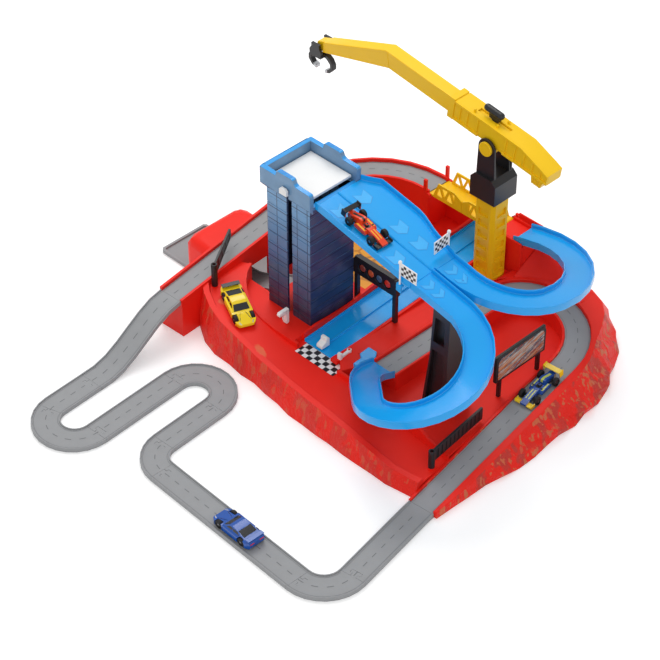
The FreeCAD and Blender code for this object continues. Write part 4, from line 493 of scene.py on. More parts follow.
def plate(bm, outline, at, low, high):
    """A plate: an outline raised between two depths, where at(u, v, depth) gives the place."""
    below = [bm.verts.new(at(u, v, low)) for u, v in outline]
    above = [bm.verts.new(at(u, v, high)) for u, v in outline]
    count = len(outline)
    bm.faces.new(below[::-1])
    bm.faces.new(above)
    for i in range(count):
        j = (i + 1) % count
        bm.faces.new((below[i], below[j], above[j], above[i]))


def turned(bm, profile, matrix, count):
    """Spin a (radius, offset) profile round the matrix's Z axis."""
    rings = []
    for i in range(count):
        angle = math.radians(360 * i / count)
        rings.append([bm.verts.new(matrix @ Vector((r * math.cos(angle), r * math.sin(angle), h)))
                      for r, h in profile])
    for i in range(count):
        a, b = rings[i], rings[(i + 1) % count]
        for k in range(len(profile) - 1):
            bm.faces.new((a[k], b[k], b[k + 1], a[k + 1]))
    bmesh.ops.remove_doubles(bm, verts=bm.verts, dist=1e-6)


def rod(bm, a, b, radius, count=8):
    """A round rod between two points."""
    a, b = Vector(a), Vector(b)
    way = b - a
    matrix = Matrix.Translation(a) @ way.to_track_quat("Z", "Y").to_matrix().to_4x4()
    turned(bm, [(0, 0), (radius, 0), (radius, way.length), (0, way.length)], matrix, count)


class Route:
    """A plan line of straights (length,) and bends (radius, turn in degrees)."""

    def __init__(self, x, y, heading, runs):
        self.parts = []
        self.length = 0.0
        angle = math.radians(heading)
        for run in runs:
            if len(run) == 1:
                span, bend = run[0], 0.0
            else:
                span, bend = math.radians(abs(run[1])) * run[0], math.copysign(1.0 / run[0], run[1])
            self.parts.append((self.length, x, y, angle, bend))
            x, y, angle = self.ahead(x, y, angle, bend, span)
            self.length += span

    @staticmethod
    def ahead(x, y, angle, bend, span):
        if bend == 0.0:
            return x + span * math.cos(angle), y + span * math.sin(angle), angle
        new = angle + bend * span
        return (x + (math.sin(new) - math.sin(angle)) / bend,
                y - (math.cos(new) - math.cos(angle)) / bend, new)

    def at(self, s, side=0.0):
        """Plan point at a distance along the route and a distance to its left."""
        start, x, y, angle, bend = [p for p in self.parts if p[0] <= s + 1e-6][-1]
        x, y, angle = self.ahead(x, y, angle, bend, s - start)
        return x - side * math.sin(angle), y + side * math.cos(angle)


class Marks:
    """Thin flat marks that lie on parts: every corner is dropped onto them from above."""

    def __init__(self, name, parts, look, slot, lift=0.16):
        self.name, self.look, self.slot, self.lift = name, look, slot, lift
        self.body = body_of[parts[0]]
        self.trees = []
        for part in parts:
            mesh = nodes[part].data
            self.trees.append(BVHTree.FromPolygons(
                [v.co for v in mesh.vertices], [tuple(p.vertices) for p in mesh.polygons]))
        self.bm = bmesh.new()

    def drop(self, x, y):
        """The point of the topmost surface under a plan point."""
        start = place(x, y, DROP_FROM)
        hits = [tree.ray_cast(start, Vector((0, 0, -1)))[0] for tree in self.trees]
        hits = [hit for hit in hits if hit is not None]
        if not hits:
            return None
        top = max(hits, key=lambda hit: hit.z)
        return top + Vector((0, 0, self.lift * MM))

    def band(self, route, start, stop, side, width, step=5.0):
        count = max(1, math.ceil((stop - start) / step))
        rows = []
        for i in range(count + 1):
            s = start + (stop - start) * i / count
            ends = [self.drop(*route.at(s, side + half)) for half in (-width / 2, width / 2)]
            if None in ends:
                rows.append(None)
                continue
            rows.append([self.bm.verts.new(p) for p in ends])
        for a, b in zip(rows, rows[1:]):
            if a and b:
                self.bm.faces.new((a[0], b[0], b[1], a[1]))

    def dashes(self, route, start, stop, width, dash, gap):
        """Dashes along the middle of a route."""
        s = start
        while s + dash <= stop:
            self.band(route, s, s + dash, 0, width)
            s += dash + gap
        return self

    def shape(self, outline):
        corners = [self.drop(x, y) for x, y in outline]
        if None not in corners:
            self.bm.faces.new([self.bm.verts.new(p) for p in corners])

    def done(self):
        for face in self.bm.faces:
            face.normal_update()
            if face.normal.z < 0:
                face.normal_flip()
        piece(self.name, made_mesh(self.name, self.bm), self.look, self.body)


# Road lines

high = Route(-157.3, -158.0, 92.6, [(294.0,), (121.0, -92.6), (10.0,)])
loop = Route(150.0, -44.6, 90.0, [(222.6,), (55.0, -90.0), (8.0,), (97.0, -84.4), (316.98,)])
flex = Route(-157.3, -158.3, -87.2, [(222.97,), (41.0, 180.0), (145.0,), (40.0, -180.0), (97.06,),
    (40.0, 85.4), (266.1,), (45.0, 100.8), (133.26,), (300.0, -3.4)])
tracks = ["floor_track_%02d" % i for i in range(1, 12)]
for name, route, parts, edge in (
        ("high_road", high, ["high_road"], 15.6), ("loop_road", loop, ["loop_road"], 15.6),
        ("floor_track", flex, tracks, 16.2)):
    Marks(name + "_dashes", parts, road_dash, "road_grey").dashes(
        route, 6, route.length - 6, 1.0, 9.0, 11.0).done()
    lines = Marks(name + "_edge_lines", parts, road_edge, "road_grey", 0.12)
    for side in (-edge, edge):
        lines.band(route, 1.5, route.length - 1.5, side, 0.7)
    lines.done()

# Marks on the blue track: chevrons on the ramp and the first part of each branch

FORK = 196.0
LANES = (-27.0, 17.0)


def chevron(x, y, long, wide, grow):
    h, w, n = long / 2 + grow, wide / 2 + grow, 7.0
    return [(x - h, y - w), (x + h - n, y - w), (x + h, y), (x + h - n, y + w), (x - h, y + w),
            (x - h + n, y)]


def chevrons(name, part, spots, long, wide):
    """A row of lighter marks, a painted reflection on the raised chevrons, each on a slightly
    larger and darker one that shows as its edge.
    """
    for ending, look, lift, grow in (
            ("chevrons", track_sheen, 0.20, 0.0), ("chevron_edges", track_line, 0.10, 0.7)):
        marks = Marks("%s_%s" % (name, ending), [part], look, "track_blue", lift)
        for x, y in spots:
            marks.shape(chevron(x, y, long, wide, grow))
        marks.done()


chevrons("ramp", "ramp_deck", [(x, y) for x in (48.0, 116.0, 152.0) for y in LANES], 24, 20)
for side, y in zip(("left", "right"), LANES):
    chevrons(side + "_branch", side + "_branch_track", [(FORK + 15, y), (FORK + 33, y)], 14, 18)

strip_line = Route(51.0, -72.0, 90.0, [(356.0,)])
strip_marks = Marks("strip_edges", ["drag_strip"], track_line, "track_blue", 0.12)
for side in (-24.6, -3.0, 3.0, 24.6):
    strip_marks.band(strip_line, 4, 352, side, 0.6, 30)
strip_marks.done()

# Chequered finish line in front of the strip

finish = Marks("finish_line", ["deck", "front_lane"], checks("finish checks", 0.0082),
               "white_plastic", 0.3)
levels = sorted(finish.drop(x, y).z for x in range(32, 100, 4) for y in range(-94, -72, 3)
                if finish.drop(x, y))
line_level = levels[len(levels) // 2]
finish.bm.faces.new([
    finish.bm.verts.new(Vector((*place(x, y, 0).xy, line_level)))
    for x, y in ((28, -96), (102, -96), (102, -72.4), (28, -72.4))])
finish.done()

# Blue tab that hooks the end of the left branch onto the deck

bm = bmesh.new()
plate(bm, [(114, -68.5), (113.5, -53), (106, -47.5), (105, -29), (120, -28.5), (127, -38),
           (131, -70)], place, 44.1, 50.5)
solid("track_tab", bm, blue, "base", 0.9)

# Start lamps

lamp_colors = ((0.30, 0.05, 0.03), (0.62, 0.10, 0.03), (0.06, 0.12, 0.22), (0.72, 0.04, 0.02))
for i, (x, color) in enumerate(zip((27, 43, 59, 75), lamp_colors), start=1):
    lamp = Look("lamp %d" % i, color, 0.12, 0.6).mottle(260, 0.35).grain(1500, 0.05, 0.0001, 0.04)
    bm = bmesh.new()
    matrix = Matrix.Translation(place(x, 37.2, 106)) @ about("X", 90)
    turned(bm, in_metres([(5.9, 0.0), (5.6, 0.35), (4.2, 0.8), (2.2, 1.05), (0.0, 1.12)]),
           matrix, 24)
    rounded(solid("start_lamp_%d" % i, bm, lamp, "base"))

# Billboard picture: an abstract pattern of slanting streaks

BOARD_Y = 86
card = Look("picture card", (0.30, 0.20, 0.20), 0.45, 0.3)
_, across, upward = card.axes()
u = card.ramp(across, (BOARD_Y + HOME_Y - 46.5) * MM, (BOARD_Y + HOME_Y + 46.5) * MM)
v = card.ramp(upward, 55.5 * MM, 92.5 * MM)
slant = card.total(u, v, (2.2, -3.4))
stretched = card.node("ShaderNodeCombineXYZ")
card.link(slant, stretched.inputs[0])
card.link(card.times(card.total(u, v), 0.3), stretched.inputs[1])
streaks = card.noise(1.3, 3.0, 0.55, stretched.outputs[0])
fine = card.noise(3.1, 4.0, 0.6, stretched.outputs[0])
card.paint(card.blend(card.ramp(v, 0.30, 0.75), (0.34, 0.030, 0.012), (0.045, 0.060, 0.115)))
card.over(card.ramp(streaks, 0.515, 0.56), (0.40, 0.37, 0.36))
card.over(card.times(card.inside(fine, 0.53, 0.58, 0.015), 0.95), (0.66, 0.20, 0.03))
card.over(card.times(card.inside(streaks, 0.43, 0.465, 0.01), 0.9), (0.03, 0.13, 0.20))
card.over(card.times(card.inside(fine, 0.42, 0.455, 0.01), 0.9), (0.62, 0.60, 0.56))
card.over(card.ramp(fine, 0.40, 0.36), (0.012, 0.014, 0.020))
spots = card.ramp(card.noise(3.0, 2.0, 0.5, stretched.outputs[0]), 0.62, 0.68)
card.over(card.times(spots, 0.9), (0.52, 0.035, 0.015))
card.grain(900, 0.05, 0.0001, 0.04)


def board_outline(half, low, high):
    """The billboard's shape, its upper corners cut off in a round."""
    cut = 7.0
    round_cut = cut * 0.3
    return [(-half, low), (half, low), (half, high - cut), (half - round_cut, high - round_cut),
            (half - cut, high), (-half + cut, high), (-half + round_cut, high - round_cut),
            (-half, high - cut)]


for name, half, low, high, x0, x1, look, slot, edge in (
        ("billboard_surround", 50.0, 52.3, 96.1, 279.3, 280.2, black, "black_plastic", 0.3),
        ("billboard_picture", 46.0, 56.0, 92.4, 280.0, 280.5, card, "white_plastic", None)):
    bm = bmesh.new()
    plate(bm, board_outline(half, low, high), lambda a, b, x: place(x, BOARD_Y + a, b), x0, x1)
    solid(name, bm, look, "base", edge)

# Landing of the bridge on the right, with the shoulder of rock beside it

def slab(bm, x0, x1, y0, y1, z0, z1):
    plate(bm, [(x0, y0), (x1, y0), (x1, y1), (x0, y1)], place, z0, z1)


BRIDGE_Y, ROAD_TOP = 262.2, 95.7
bm = bmesh.new()
for sign in (-1, 1):
    for x0, x1, near, far, z0, z1 in (
            (90, 142, 21.2, 23.6, 0, 100.7), (90, 123.8, 18.4, 21.2, 0, 100.7),
            (123.8, 142, 18.4, 21.2, 0, 92.9), (91, 96, 21.3, 25.3, 89.3, 105.0),
            (86.5, 96, 21.3, 25.3, 89.3, 96.1)):
        y0, y1 = sorted((BRIDGE_Y + sign * near, BRIDGE_Y + sign * far))
        slab(bm, x0, x1, y0, y1, z0, z1)
    rod(bm, *(place(86.5, BRIDGE_Y + sign * off, 92.7) for off in (21.3, 25.3)), 3.4 * MM, 20)
slab(bm, 98, 142, 283.4, 285.8, 100.7, 109.5)
slab(bm, 90, 142, 243.8, 280.6, 92, ROAD_TOP)
for x in (90, 139):
    slab(bm, x, x + 3, 243.8, 280.6, 0, 92)
solid("bridge_landing", bm, red, "base", 0.8)

# Red floor that closes the slots between the mouldings

bm = bmesh.new()
slab(bm, 97.0, 128.8, -43.5, 237.0, 40.6, 43.9)
slab(bm, 79.2, 91.0, -77.4, -67.6, 38.0, 43.9)
slab(bm, 15.5, 19.2, -84.0, -66.0, 33.5, 41.5)
slab(bm, 296.0, 320.0, -158.0, -40.0, 4.5, 8.5)
solid("deck_infill", bm, red, "base")


def shoulder(x):
    """Profile of the shoulder at one X: foot and top of the inner edge, crest, and outer foot."""
    if x < 205:
        near = 178 + math.sqrt(78.0 ** 2 - (x - 205) ** 2)
    elif x < 213:
        near = 256.0
    else:
        near = 136 + math.sqrt(120.0 ** 2 - (x - 213) ** 2)
    fade = min(1.0, max(0.0, (250 - x) / 45.0))
    far = 285.8 - 6.0 * (1 - fade)
    crest = 50.2 + 0.52 * (far - near) * fade * fade * (3 - 2 * fade)
    return [(near, 0.0), (near, 50.2), (near + 2, 50.6), (far - 3, crest), (far, crest - 1.5),
            (far + 3.5 + 1.6 * math.sin(x * 0.21), crest * 0.5),
            (far + 6.0 + 1.4 * math.sin(x * 0.13 + 1), 0.0)]


bm = bmesh.new()
rows = []
for i in range(27):
    x = 142.2 + 4.1 * i
    rows.append([bm.verts.new(place(x, y, z)) for y, z in shoulder(x)])
for one, two in zip(rows, rows[1:]):
    for k in range(len(one)):
        m = (k + 1) % len(one)
        bm.faces.new((one[k], two[k], two[m], one[m]))
bm.faces.new(rows[0])
bm.faces.new(rows[-1])
plate(bm, [(128, 206), (142.0, 224), (142.0, 238.4), (131.2, 238.4)], place, 0, 50.1)
solid("rear_shoulder", bm, rear_rock, "base", 0.8)

# Flags: pole, ball and clip, with a chequered cloth

def flag(name, x, y, z, along, node):
    """The cloth flies from the pole along a plan direction."""
    bm = bmesh.new()
    turned(bm, in_metres([(0.0, 0.0), (1.35, 0.0), (1.35, 42), (2.3, 42.4), (2.75, 44), (2.3, 46),
                          (1.2, 47), (0.0, 47.2)]), Matrix.Translation(place(x, y, z - 6)), 18)
    way = Vector((along[0], along[1], 0)).normalized()
    out = Vector((-way.y, way.x, 0))

    def on_cloth(a, b, offset):
        return place(x, y, z + b) + (way * a + out * offset) * MM

    plate(bm, [(0, 18.5), (29.5, 16.5), (30, 36.5), (0, 38)], on_cloth, -0.6, 0.6)
    base = solid(name, bm, white, "base", 0.3)
    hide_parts(node)
    bm = bmesh.new()
    long, high, fall = 4.3, 4.2, 0.2
    for offset in (-0.66, 0.66):
        for i in range(6):
            for j in range(i % 2, 4, 2):
                a, b = 2.6 + long * i, 19.4 + high * j - 0.045 * (long * i)
                corners = [(a, b), (a + long, b - fall), (a + long, b + high - fall), (a, b + high)]
                bm.faces.new([bm.verts.new(on_cloth(p, q, offset)) for p, q in corners])
    solid(name + "_squares", bm, black, "base")
    bm = bmesh.new()
    inward = 1 if y < 0 else -1
    for a, b, low, high in ((-2.0, 3.4, -0.3, 2.6), (-2.6, -0.4, -9.0, 0.4)):
        plate(bm, [(-4.5, low), (4.5, low), (4.5, high), (-4.5, high)],
              lambda p, q, r: place(x + p, y + inward * r, z + q - 0.18 * p), a, b)
    solid(name + "_clip", bm, blue, "base", 0.4)


# Both flags stand in clips at one place of the ramp, which falls evenly along X
FLAG_X, RAMP_X0, RAMP_X1, RAMP_Z0, RAMP_Z1 = 180.0, 19.8, 268.8, 256.0, 207.0
clip_z = RAMP_Z0 + (RAMP_Z1 - RAMP_Z0) * (FLAG_X - RAMP_X0) / (RAMP_X1 - RAMP_X0) + 8.0 - 18.0
flag("front_flag", FLAG_X, -50.6, clip_z, (1, 0), "flag_front")
flag("rear_flag", FLAG_X, 41.6, clip_z, (0.05, -1), "flag_rear")

# Top of the lift tower: thick rim with a raised step on both sides, open towards the ramp

def upright(bm, outline, near, far, axis="Y"):
    """A plate from an outline in the vertical plane, between two depths along a plan axis."""
    def at(across, z, depth):
        return place(across, depth, z) if axis == "Y" else place(depth, across, z)

    plate(bm, outline, at, near, far)


RIM_FOOT = 250
crest = [(-47, 277), (-44.5, 284.5), (-42, 286), (-16, 286), (-13.5, 284.5), (-11, 279),
         (-7, 276.5), (17, 276), (19.5, 273.5)]
bm = bmesh.new()
for notch, near, far in (
        ([(-32, RIM_FOOT), (-32, 263), (-22, 263), (-22, RIM_FOOT)], -57.0, -49.4),
        ([], 32.4, 40.0)):
    upright(bm, [(-77.5, RIM_FOOT)] + notch + [(19.5, RIM_FOOT)] + crest[::-1] + [(-77.5, 277)],
            near, far)
for top, near, far in ((277, -77.5, -69.9), (254.2, 12.4, 19.5)):
    upright(bm, [(-49.4, RIM_FOOT), (32.4, RIM_FOOT), (32.4, top), (-49.4, top)], near, far, "X")
for ends in (((-77.5, -57), (-70.9, -50.4), (-32, -50.4), (-32, -57)),
             ((-22, -57), (-22, -50.4), (19.5, -50.4), (19.5, -57)),
             ((-77.5, 40), (-70.9, 33.4), (19.5, 33.4), (19.5, 40)),
             ((-77.5, -57), (-70.9, -50.4), (-70.9, 33.4), (-77.5, 40))):
    a, b, c, d = (bm.verts.new(place(x, y, RIM_FOOT + 0.2)) for x, y in ends)
    e, f = (bm.verts.new(place(x, y, RIM_FOOT - 8)) for x, y in ends[1:3])
    for face in ((a, b, c, d), (b, e, f, c), (a, d, f, e), (a, e, b), (d, c, f)):
        bm.faces.new(face)
rim = solid("tower_rim", bm, parapet, "base", 0.7)
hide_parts("tower_parapet")
bm = bmesh.new()
for x0, x1, y0, y1 in (
        (-71, -31.5, -50.5, -47.6), (-22.5, 13, -50.5, -47.6), (-71, 13, 30.6, 33.5),
        (-71, -68.1, -47.6, 30.6), (10.1, 13, -47.6, 30.6)):
    slab(bm, x0, x1, y0, y1, 230.1, RIM_FOOT)
solid("tower_collar", bm, tower, "base", 0.4)
# Dark insets on the raised steps: painted shade where the rim has hollow pockets
bm = bmesh.new()
for y0, y1 in ((-55.2, -51.2), (34.2, 38.2)):
    for x0, x1 in ((-40.5, -30.6), (-28.6, -18.0)):
        slab(bm, x0, x1, y0, y1, 285.6, 286.25)
solid("tower_rim_pocket_shade", bm, track_line, "base")

# White fingers that stop and release a car at the tower and on the strip

bm = bmesh.new()
turned(bm, in_metres([(1.5, 0), (2.9, 0), (2.9, 4.2), (1.5, 4.2), (1.5, 0)]),
       Matrix.Translation(place(-24, -66, 44.3)), 24)
slab(bm, -22.0, -14.2, -70.8, -66.4, 44.6, 49.0)
slab(bm, -19.6, -13.8, -72.0, -65.8, 46.0, 70.0)
upright(bm, [(-84.0, 63.6), (-84.6, 66.5), (-83.0, 69.6), (-70.0, 70.0), (-70.0, 62.6)],
        -19.6, -13.8, "X")
finger = solid("tower_finger", bm, white, body_of["tower_lever"], 0.9)
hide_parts("tower_lever")
bm = bmesh.new()
upright(bm, [(-71.6, 40.6), (-71.6, 45.4), (-63.6, 49.6), (-63.0, 55.0), (-58.6, 55.6),
             (-56.2, 52.8), (-56.2, 40.6)], 45.4, 56.6, "X")
solid("strip_finger", bm, white, "base", 0.9)

# Crane boom: flanges and ribs on its sides, lugs beside the slot, and the grip of the extension

tilt = math.radians(8.0)
along_boom = Vector((-math.cos(tilt), 0, math.sin(tilt)))
above_boom = Vector((math.sin(tilt), 0, math.cos(tilt)))
PIVOT_X, PIVOT_Y, PIVOT_Z = 103, 217, 268.0
boom = Matrix.Translation(place(PIVOT_X, PIVOT_Y, PIVOT_Z)) @ Matrix(
    (along_boom, Vector((0, -1, 0)), above_boom)).transposed().to_4x4()


def on_boom(bm, outline, near, far):
    """A plate from an outline in the boom's own side view, between two depths to its near side."""
    plate(bm, outline, lambda a, r, off: within(boom, a, off, r), near, far)


sleeve, inner = bmesh.new(), bmesh.new()
for sign in (-1, 1):
    low, high = sorted((sign * 12.8, sign * 15.4))
    on_boom(sleeve,
            [(69, 35.8), (-53, 35.8), (-93, 23.8), (-104.6, 19.8), (-104.6, 4.2), (69, 4.2)],
            *sorted((sign * 12.9, sign * 13.2)))
    for flange in ([(69, 35.8), (-53, 35.8), (-93, 23.8), (-104.6, 19.8), (-104.6, 16.6),
                    (-92, 20.6), (-52.6, 32.8), (69, 32.8)],
                   [(69, 4.2), (69, 8.0), (23, 8.0), (23, 4.2)],
                   [(-23, 4.2), (-23, 8.0), (-104.6, 8.0), (-104.6, 4.2)]):
        on_boom(sleeve, flange, low, high)
    for a, top in ((59, 34), (45, 34), (26, 34), (-26, 34), (-43, 34), (-60, 31), (-76, 27),
                   (-91, 22), (-103.6, 19)):
        on_boom(sleeve, [(a - 1.2, 5.0), (a + 1.2, 5.0), (a + 1.2, top), (a - 1.2, top)],
                *sorted((sign * 12.8, sign * 14.9)))
    for strip in ([(108, 32.4), (207.9, 32.4), (312, -22.2), (310.9, -24.3), (206.5, 30.0),
                   (108, 30.0)],
                  [(108, 7.6), (198, 7.6), (312, -41.1), (312.9, -39.0), (198.4, 10.0),
                   (108, 10.0)],
                  [(197.4, 9), (199.4, 8.6), (206.6, 30.6), (204.4, 31)]):
        on_boom(inner, strip, *sorted((sign * 9.4, sign * 10.7)))
for a, c in ((-8.0, -9.5), (-4.0, 9.0), (38.0, 9.0)):
    on_boom(sleeve, [(a - 1.6, 35.6), (a + 1.6, 35.6), (a + 1.1, 40.2), (a - 1.1, 40.2)],
            c - 1.6, c + 1.6)
solid("boom_sleeve_ribs", sleeve, yellow, body_of["boom_sleeve"], 0.35)
solid("boom_inner_ribs", inner, yellow, body_of["boom_inner"], 0.3)
bm = bmesh.new()
on_boom(bm, [(4.6, 29.4), (11.4, 29.4), (11.4, 36.6), (17.0, 37.4), (18.6, 46.0), (0.6, 46.0),
             (0.0, 37.4), (4.6, 36.6)], -3.5, 3.5)
radius, steps = 5.3, 5
arc = [math.radians(90 * k / steps) for k in range(steps + 1)]
profile = [(radius * math.sin(t), -5.5 + radius * (1 - math.cos(t))) for t in arc]
profile += [(radius * math.sin(t), 29.5 - radius * (1 - math.cos(t))) for t in arc[::-1]]
turned(bm, in_metres(profile),
       boom @ Matrix.Translation(Vector((0, 0, 48.0 * MM))) @ about("Y", 90), 24)
grip = solid("boom_grip", bm, black, body_of["boom_handle"], 0.5)
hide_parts("boom_handle")

# Rounded cheeks of the crane housing around the pivot, and the ribbed key under the boom's tail

bm = bmesh.new()
radius = 15.2
cheek = [(-16.5, 222.5), (-16.0, 240.0), (-radius, 262.0)]
cheek += [(-radius * math.cos(math.radians(t)), PIVOT_Z + radius * math.sin(math.radians(t)))
          for t in range(0, 181, 15)]
cheek += [(-x, z) for x, z in cheek[2::-1]]
for low, high in ((-18.9, -15.8), (15.8, 18.9)):
    upright(bm, [(PIVOT_X + x, z) for x, z in cheek], PIVOT_Y + low, PIVOT_Y + high)
solid("housing_cheeks", bm, black, body_of["swivel_housing"], 0.6)
bm = bmesh.new()
on_boom(bm, [(-89, 10.6), (-63, 11.6), (-59, 9), (-62, 5), (-74, -2.2), (-91, -2.2)], -6.0, 6.0)
on_boom(bm, [(-73.5, -2.6), (-76.0, -13.0), (-92.0, -13.0), (-95.0, -2.6)], -9.0, 9.0)
for a in (-78.0, -82.0, -86.0, -90.0):
    for low, high in ((-9.9, -9.0), (9.0, 9.9)):
        on_boom(bm, [(a - 0.9, -3.4), (a + 0.9, -3.4), (a + 0.9, -12.6), (a - 0.9, -12.6)],
                low, high)
key = solid("tail_key", bm, yellow, body_of["tail_trigger"], 0.5)
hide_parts("tail_trigger")

# Claw: bright tips on the jaws

head = Vector((-235.09, PIVOT_Y, 270.88))
for name, sign in (("claw_jaw_front", -1), ("claw_jaw_rear", 1)):
    bm = bmesh.new()
    plate(bm, [(2.6, -30.5), (8.0, -29.5), (8.2, -23.4), (2.6, -25.7)],
          lambda a, b, off: place(head.x + sign * (6 + a), head.y + off, head.z - 11.8 + b),
          -4.35, 4.35)
    solid(name + "_tip", bm, silver, body_of[name], 0.5)

# Cars

AXLE_X, WHEEL_Y, WHEEL_Z = 21.5, 12.5, 6.2


def framed(name):
    """A car's own millimetre frame: nose along X, left side along Y, the road at Z 0."""
    front, rear = (sum(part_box("%s_%s_axle" % (name, word)), Vector()) / 2
                   for word in ("front", "rear"))
    ahead = (front - rear).normalized()
    side = Vector((0, 0, 1)).cross(ahead).normalized()
    # The wheels of one axle, far to its left and right, give the car's true side
    points = [v.co - front for v in nodes[name + "_front_axle"].data.vertices]
    left = sum((p for p in points if p.dot(side) > 0.008), Vector())
    right = sum((p for p in points if p.dot(side) < -0.008), Vector())
    side = (left - right).normalized()
    ahead = (ahead - side * ahead.dot(side)).normalized()
    up = ahead.cross(side)
    middle = (front + rear) / 2 - up * WHEEL_Z * MM
    return Matrix.Translation(middle) @ Matrix((ahead, side, up)).transposed().to_4x4()


tread = [(2.1, -2.55), (4.6, -2.7), (5.7, -2.5), (6.15, -1.9), (6.2, -0.5), (6.2, 0.5), (6.15, 1.9),
         (5.7, 2.5), (4.6, 2.7), (2.1, 2.55)]


def wheels(name, matrix, rim_look):
    """Round tyres and spoked rims in place of the plain wheels."""
    for word, x in (("front", AXLE_X), ("rear", -AXLE_X)):
        tyres, rims = bmesh.new(), bmesh.new()
        for sign in (-1, 1):
            hub = matrix @ Matrix.Translation(
                Vector((x, sign * WHEEL_Y, WHEEL_Z)) * MM) @ about("X", -90 * sign)
            turned(tyres, in_metres(tread), hub, 30)
            turned(rims, in_metres([(4.4, 2.3), (4.1, 2.55), (3.6, 1.7), (0.0, 1.5)]), hub, 24)
            turned(rims, in_metres([(0.0, 2.5), (0.9, 2.4), (1.1, 1.6)]), hub, 12)
            for k in range(5):
                turn = hub @ about("Z", 72 * k)
                plate(rims, [(0.5, -0.45), (4.0, -0.3), (4.0, 0.3), (0.5, 0.45)],
                      lambda a, b, h: within(turn, a, b, h), 1.5, 2.2)
        rod(tyres, within(matrix, x, -10.5, WHEEL_Z), within(matrix, x, 10.5, WHEEL_Z),
            1.0 * MM, 10)
        node = "%s_%s_axle" % (name, word)
        tyre = solid(node + "_tyres", tyres, rubber, body_of[node])
        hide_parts(node)
        solid(node + "_rims", rims, rim_look, body_of[node])
        rounded(tyre)


def mirrored(outline):
    return [outline, [(x, -y, z) for x, y, z in outline][::-1]]


def cabin(z):
    """Half width of a coupe's cabin at a height."""
    return 12.9 - (z - 12.4) * 0.395


def coupe(name, paint, trim, high_wing):
    """Closed car: windows, vents, lights and a wing, which stands high on one of the two."""
    matrix = framed(name)
    body = body_of[name]
    wear(nodes[name], paint)
    # Windscreen, rear window and two windows on each side
    parts = [[(12.6, -cabin(12.4) + 1.2, 11.9), (12.6, cabin(12.4) - 1.2, 11.9),
              (3.8, cabin(16.8) - 1.0, 16.75), (3.8, -cabin(16.8) + 1.0, 16.75)],
             [(-13.0, -cabin(16.7) + 1.0, 16.75), (-13.0, cabin(16.7) - 1.0, 16.75),
              (-24.5, cabin(14.0) - 1.6, 13.8), (-24.5, -cabin(14.0) + 1.6, 13.8)]]
    for back, front in ((-17.0, -4.6), (-3.4, 7.0)):
        parts += mirrored([
            (back, cabin(13.0), 13.0), (front, cabin(13.0), 13.0),
            (min(front, 2.6), cabin(16.3), 16.3), (max(back, -12.5), cabin(16.3), 16.3)])
    slits = mirrored([(14.5, 3.2, 11.45), (19.5, 5.6, 11.2), (30.0, 8.8, 9.0), (26.0, 6.8, 9.6)])
    slits += mirrored([(35.8, 4.0, 5.6), (35.8, 10.0, 5.6), (35.3, 10.0, 7.0), (35.3, 4.0, 7.0)])
    lights = mirrored([(30.5, 9.5, 8.75), (35.0, 7.6, 7.95), (34.4, 10.4, 7.95),
                       (30.0, 12.6, 8.75)])
    tails = mirrored([(-36.95, 4.5, 9.0), (-36.95, 11.4, 9.0), (-36.95, 11.4, 10.6),
                      (-36.95, 4.5, 10.6)])
    for part, look, slot, outlines, lift in (
            ("_windows", glass, "wheel_black", parts, 0.14),
            ("_vents", trim, "wheel_black", slits, 0.16),
            ("_headlights", silver, "white_plastic", lights, 0.20),
            ("_tail_lights", red, "car_red", tails, 0.10)):
        build_panels(name + part, matrix, look, outlines, body, lift)
    bm = bmesh.new()
    level = 16.4 if high_wing else 14.4
    for x0, x1, y0, y1, z0, z1 in (
            (-36.0, -29.5, -13.4, 13.4, level, level + 1.0),
            (-34.5, -31.5, -11.0, -10.0, 12.6, level + 0.2),
            (-34.5, -31.5, 10.0, 11.0, 12.6, level + 0.2)):
        plate(bm, [(x0, y0), (x1, y0), (x1, y1), (x0, y1)],
              lambda a, b, h: within(matrix, a, b, h), z0, z1)
    solid(name + "_wing", bm, trim if high_wing else paint, body, 0.25)
    wheels(name, matrix, silver)


def build_panels(name, matrix, look, outlines, body, lift):
    """Flat panels that lie a little proud of a car's body."""
    bm = bmesh.new()
    for outline in outlines:
        points = [within(matrix, *p) for p in outline]
        normal = sum(((points[i] - points[0]).cross(points[i + 1] - points[0])
                      for i in range(1, len(points) - 1)), Vector()).normalized()
        middle = sum(points, Vector()) / len(points)
        if normal.dot(middle - within(matrix, 0, 0, 6)) < 0:
            normal = -normal
            points.reverse()
        bm.faces.new([bm.verts.new(p + normal * lift * MM) for p in points])
    piece(name, made_mesh(name, bm), look, body)


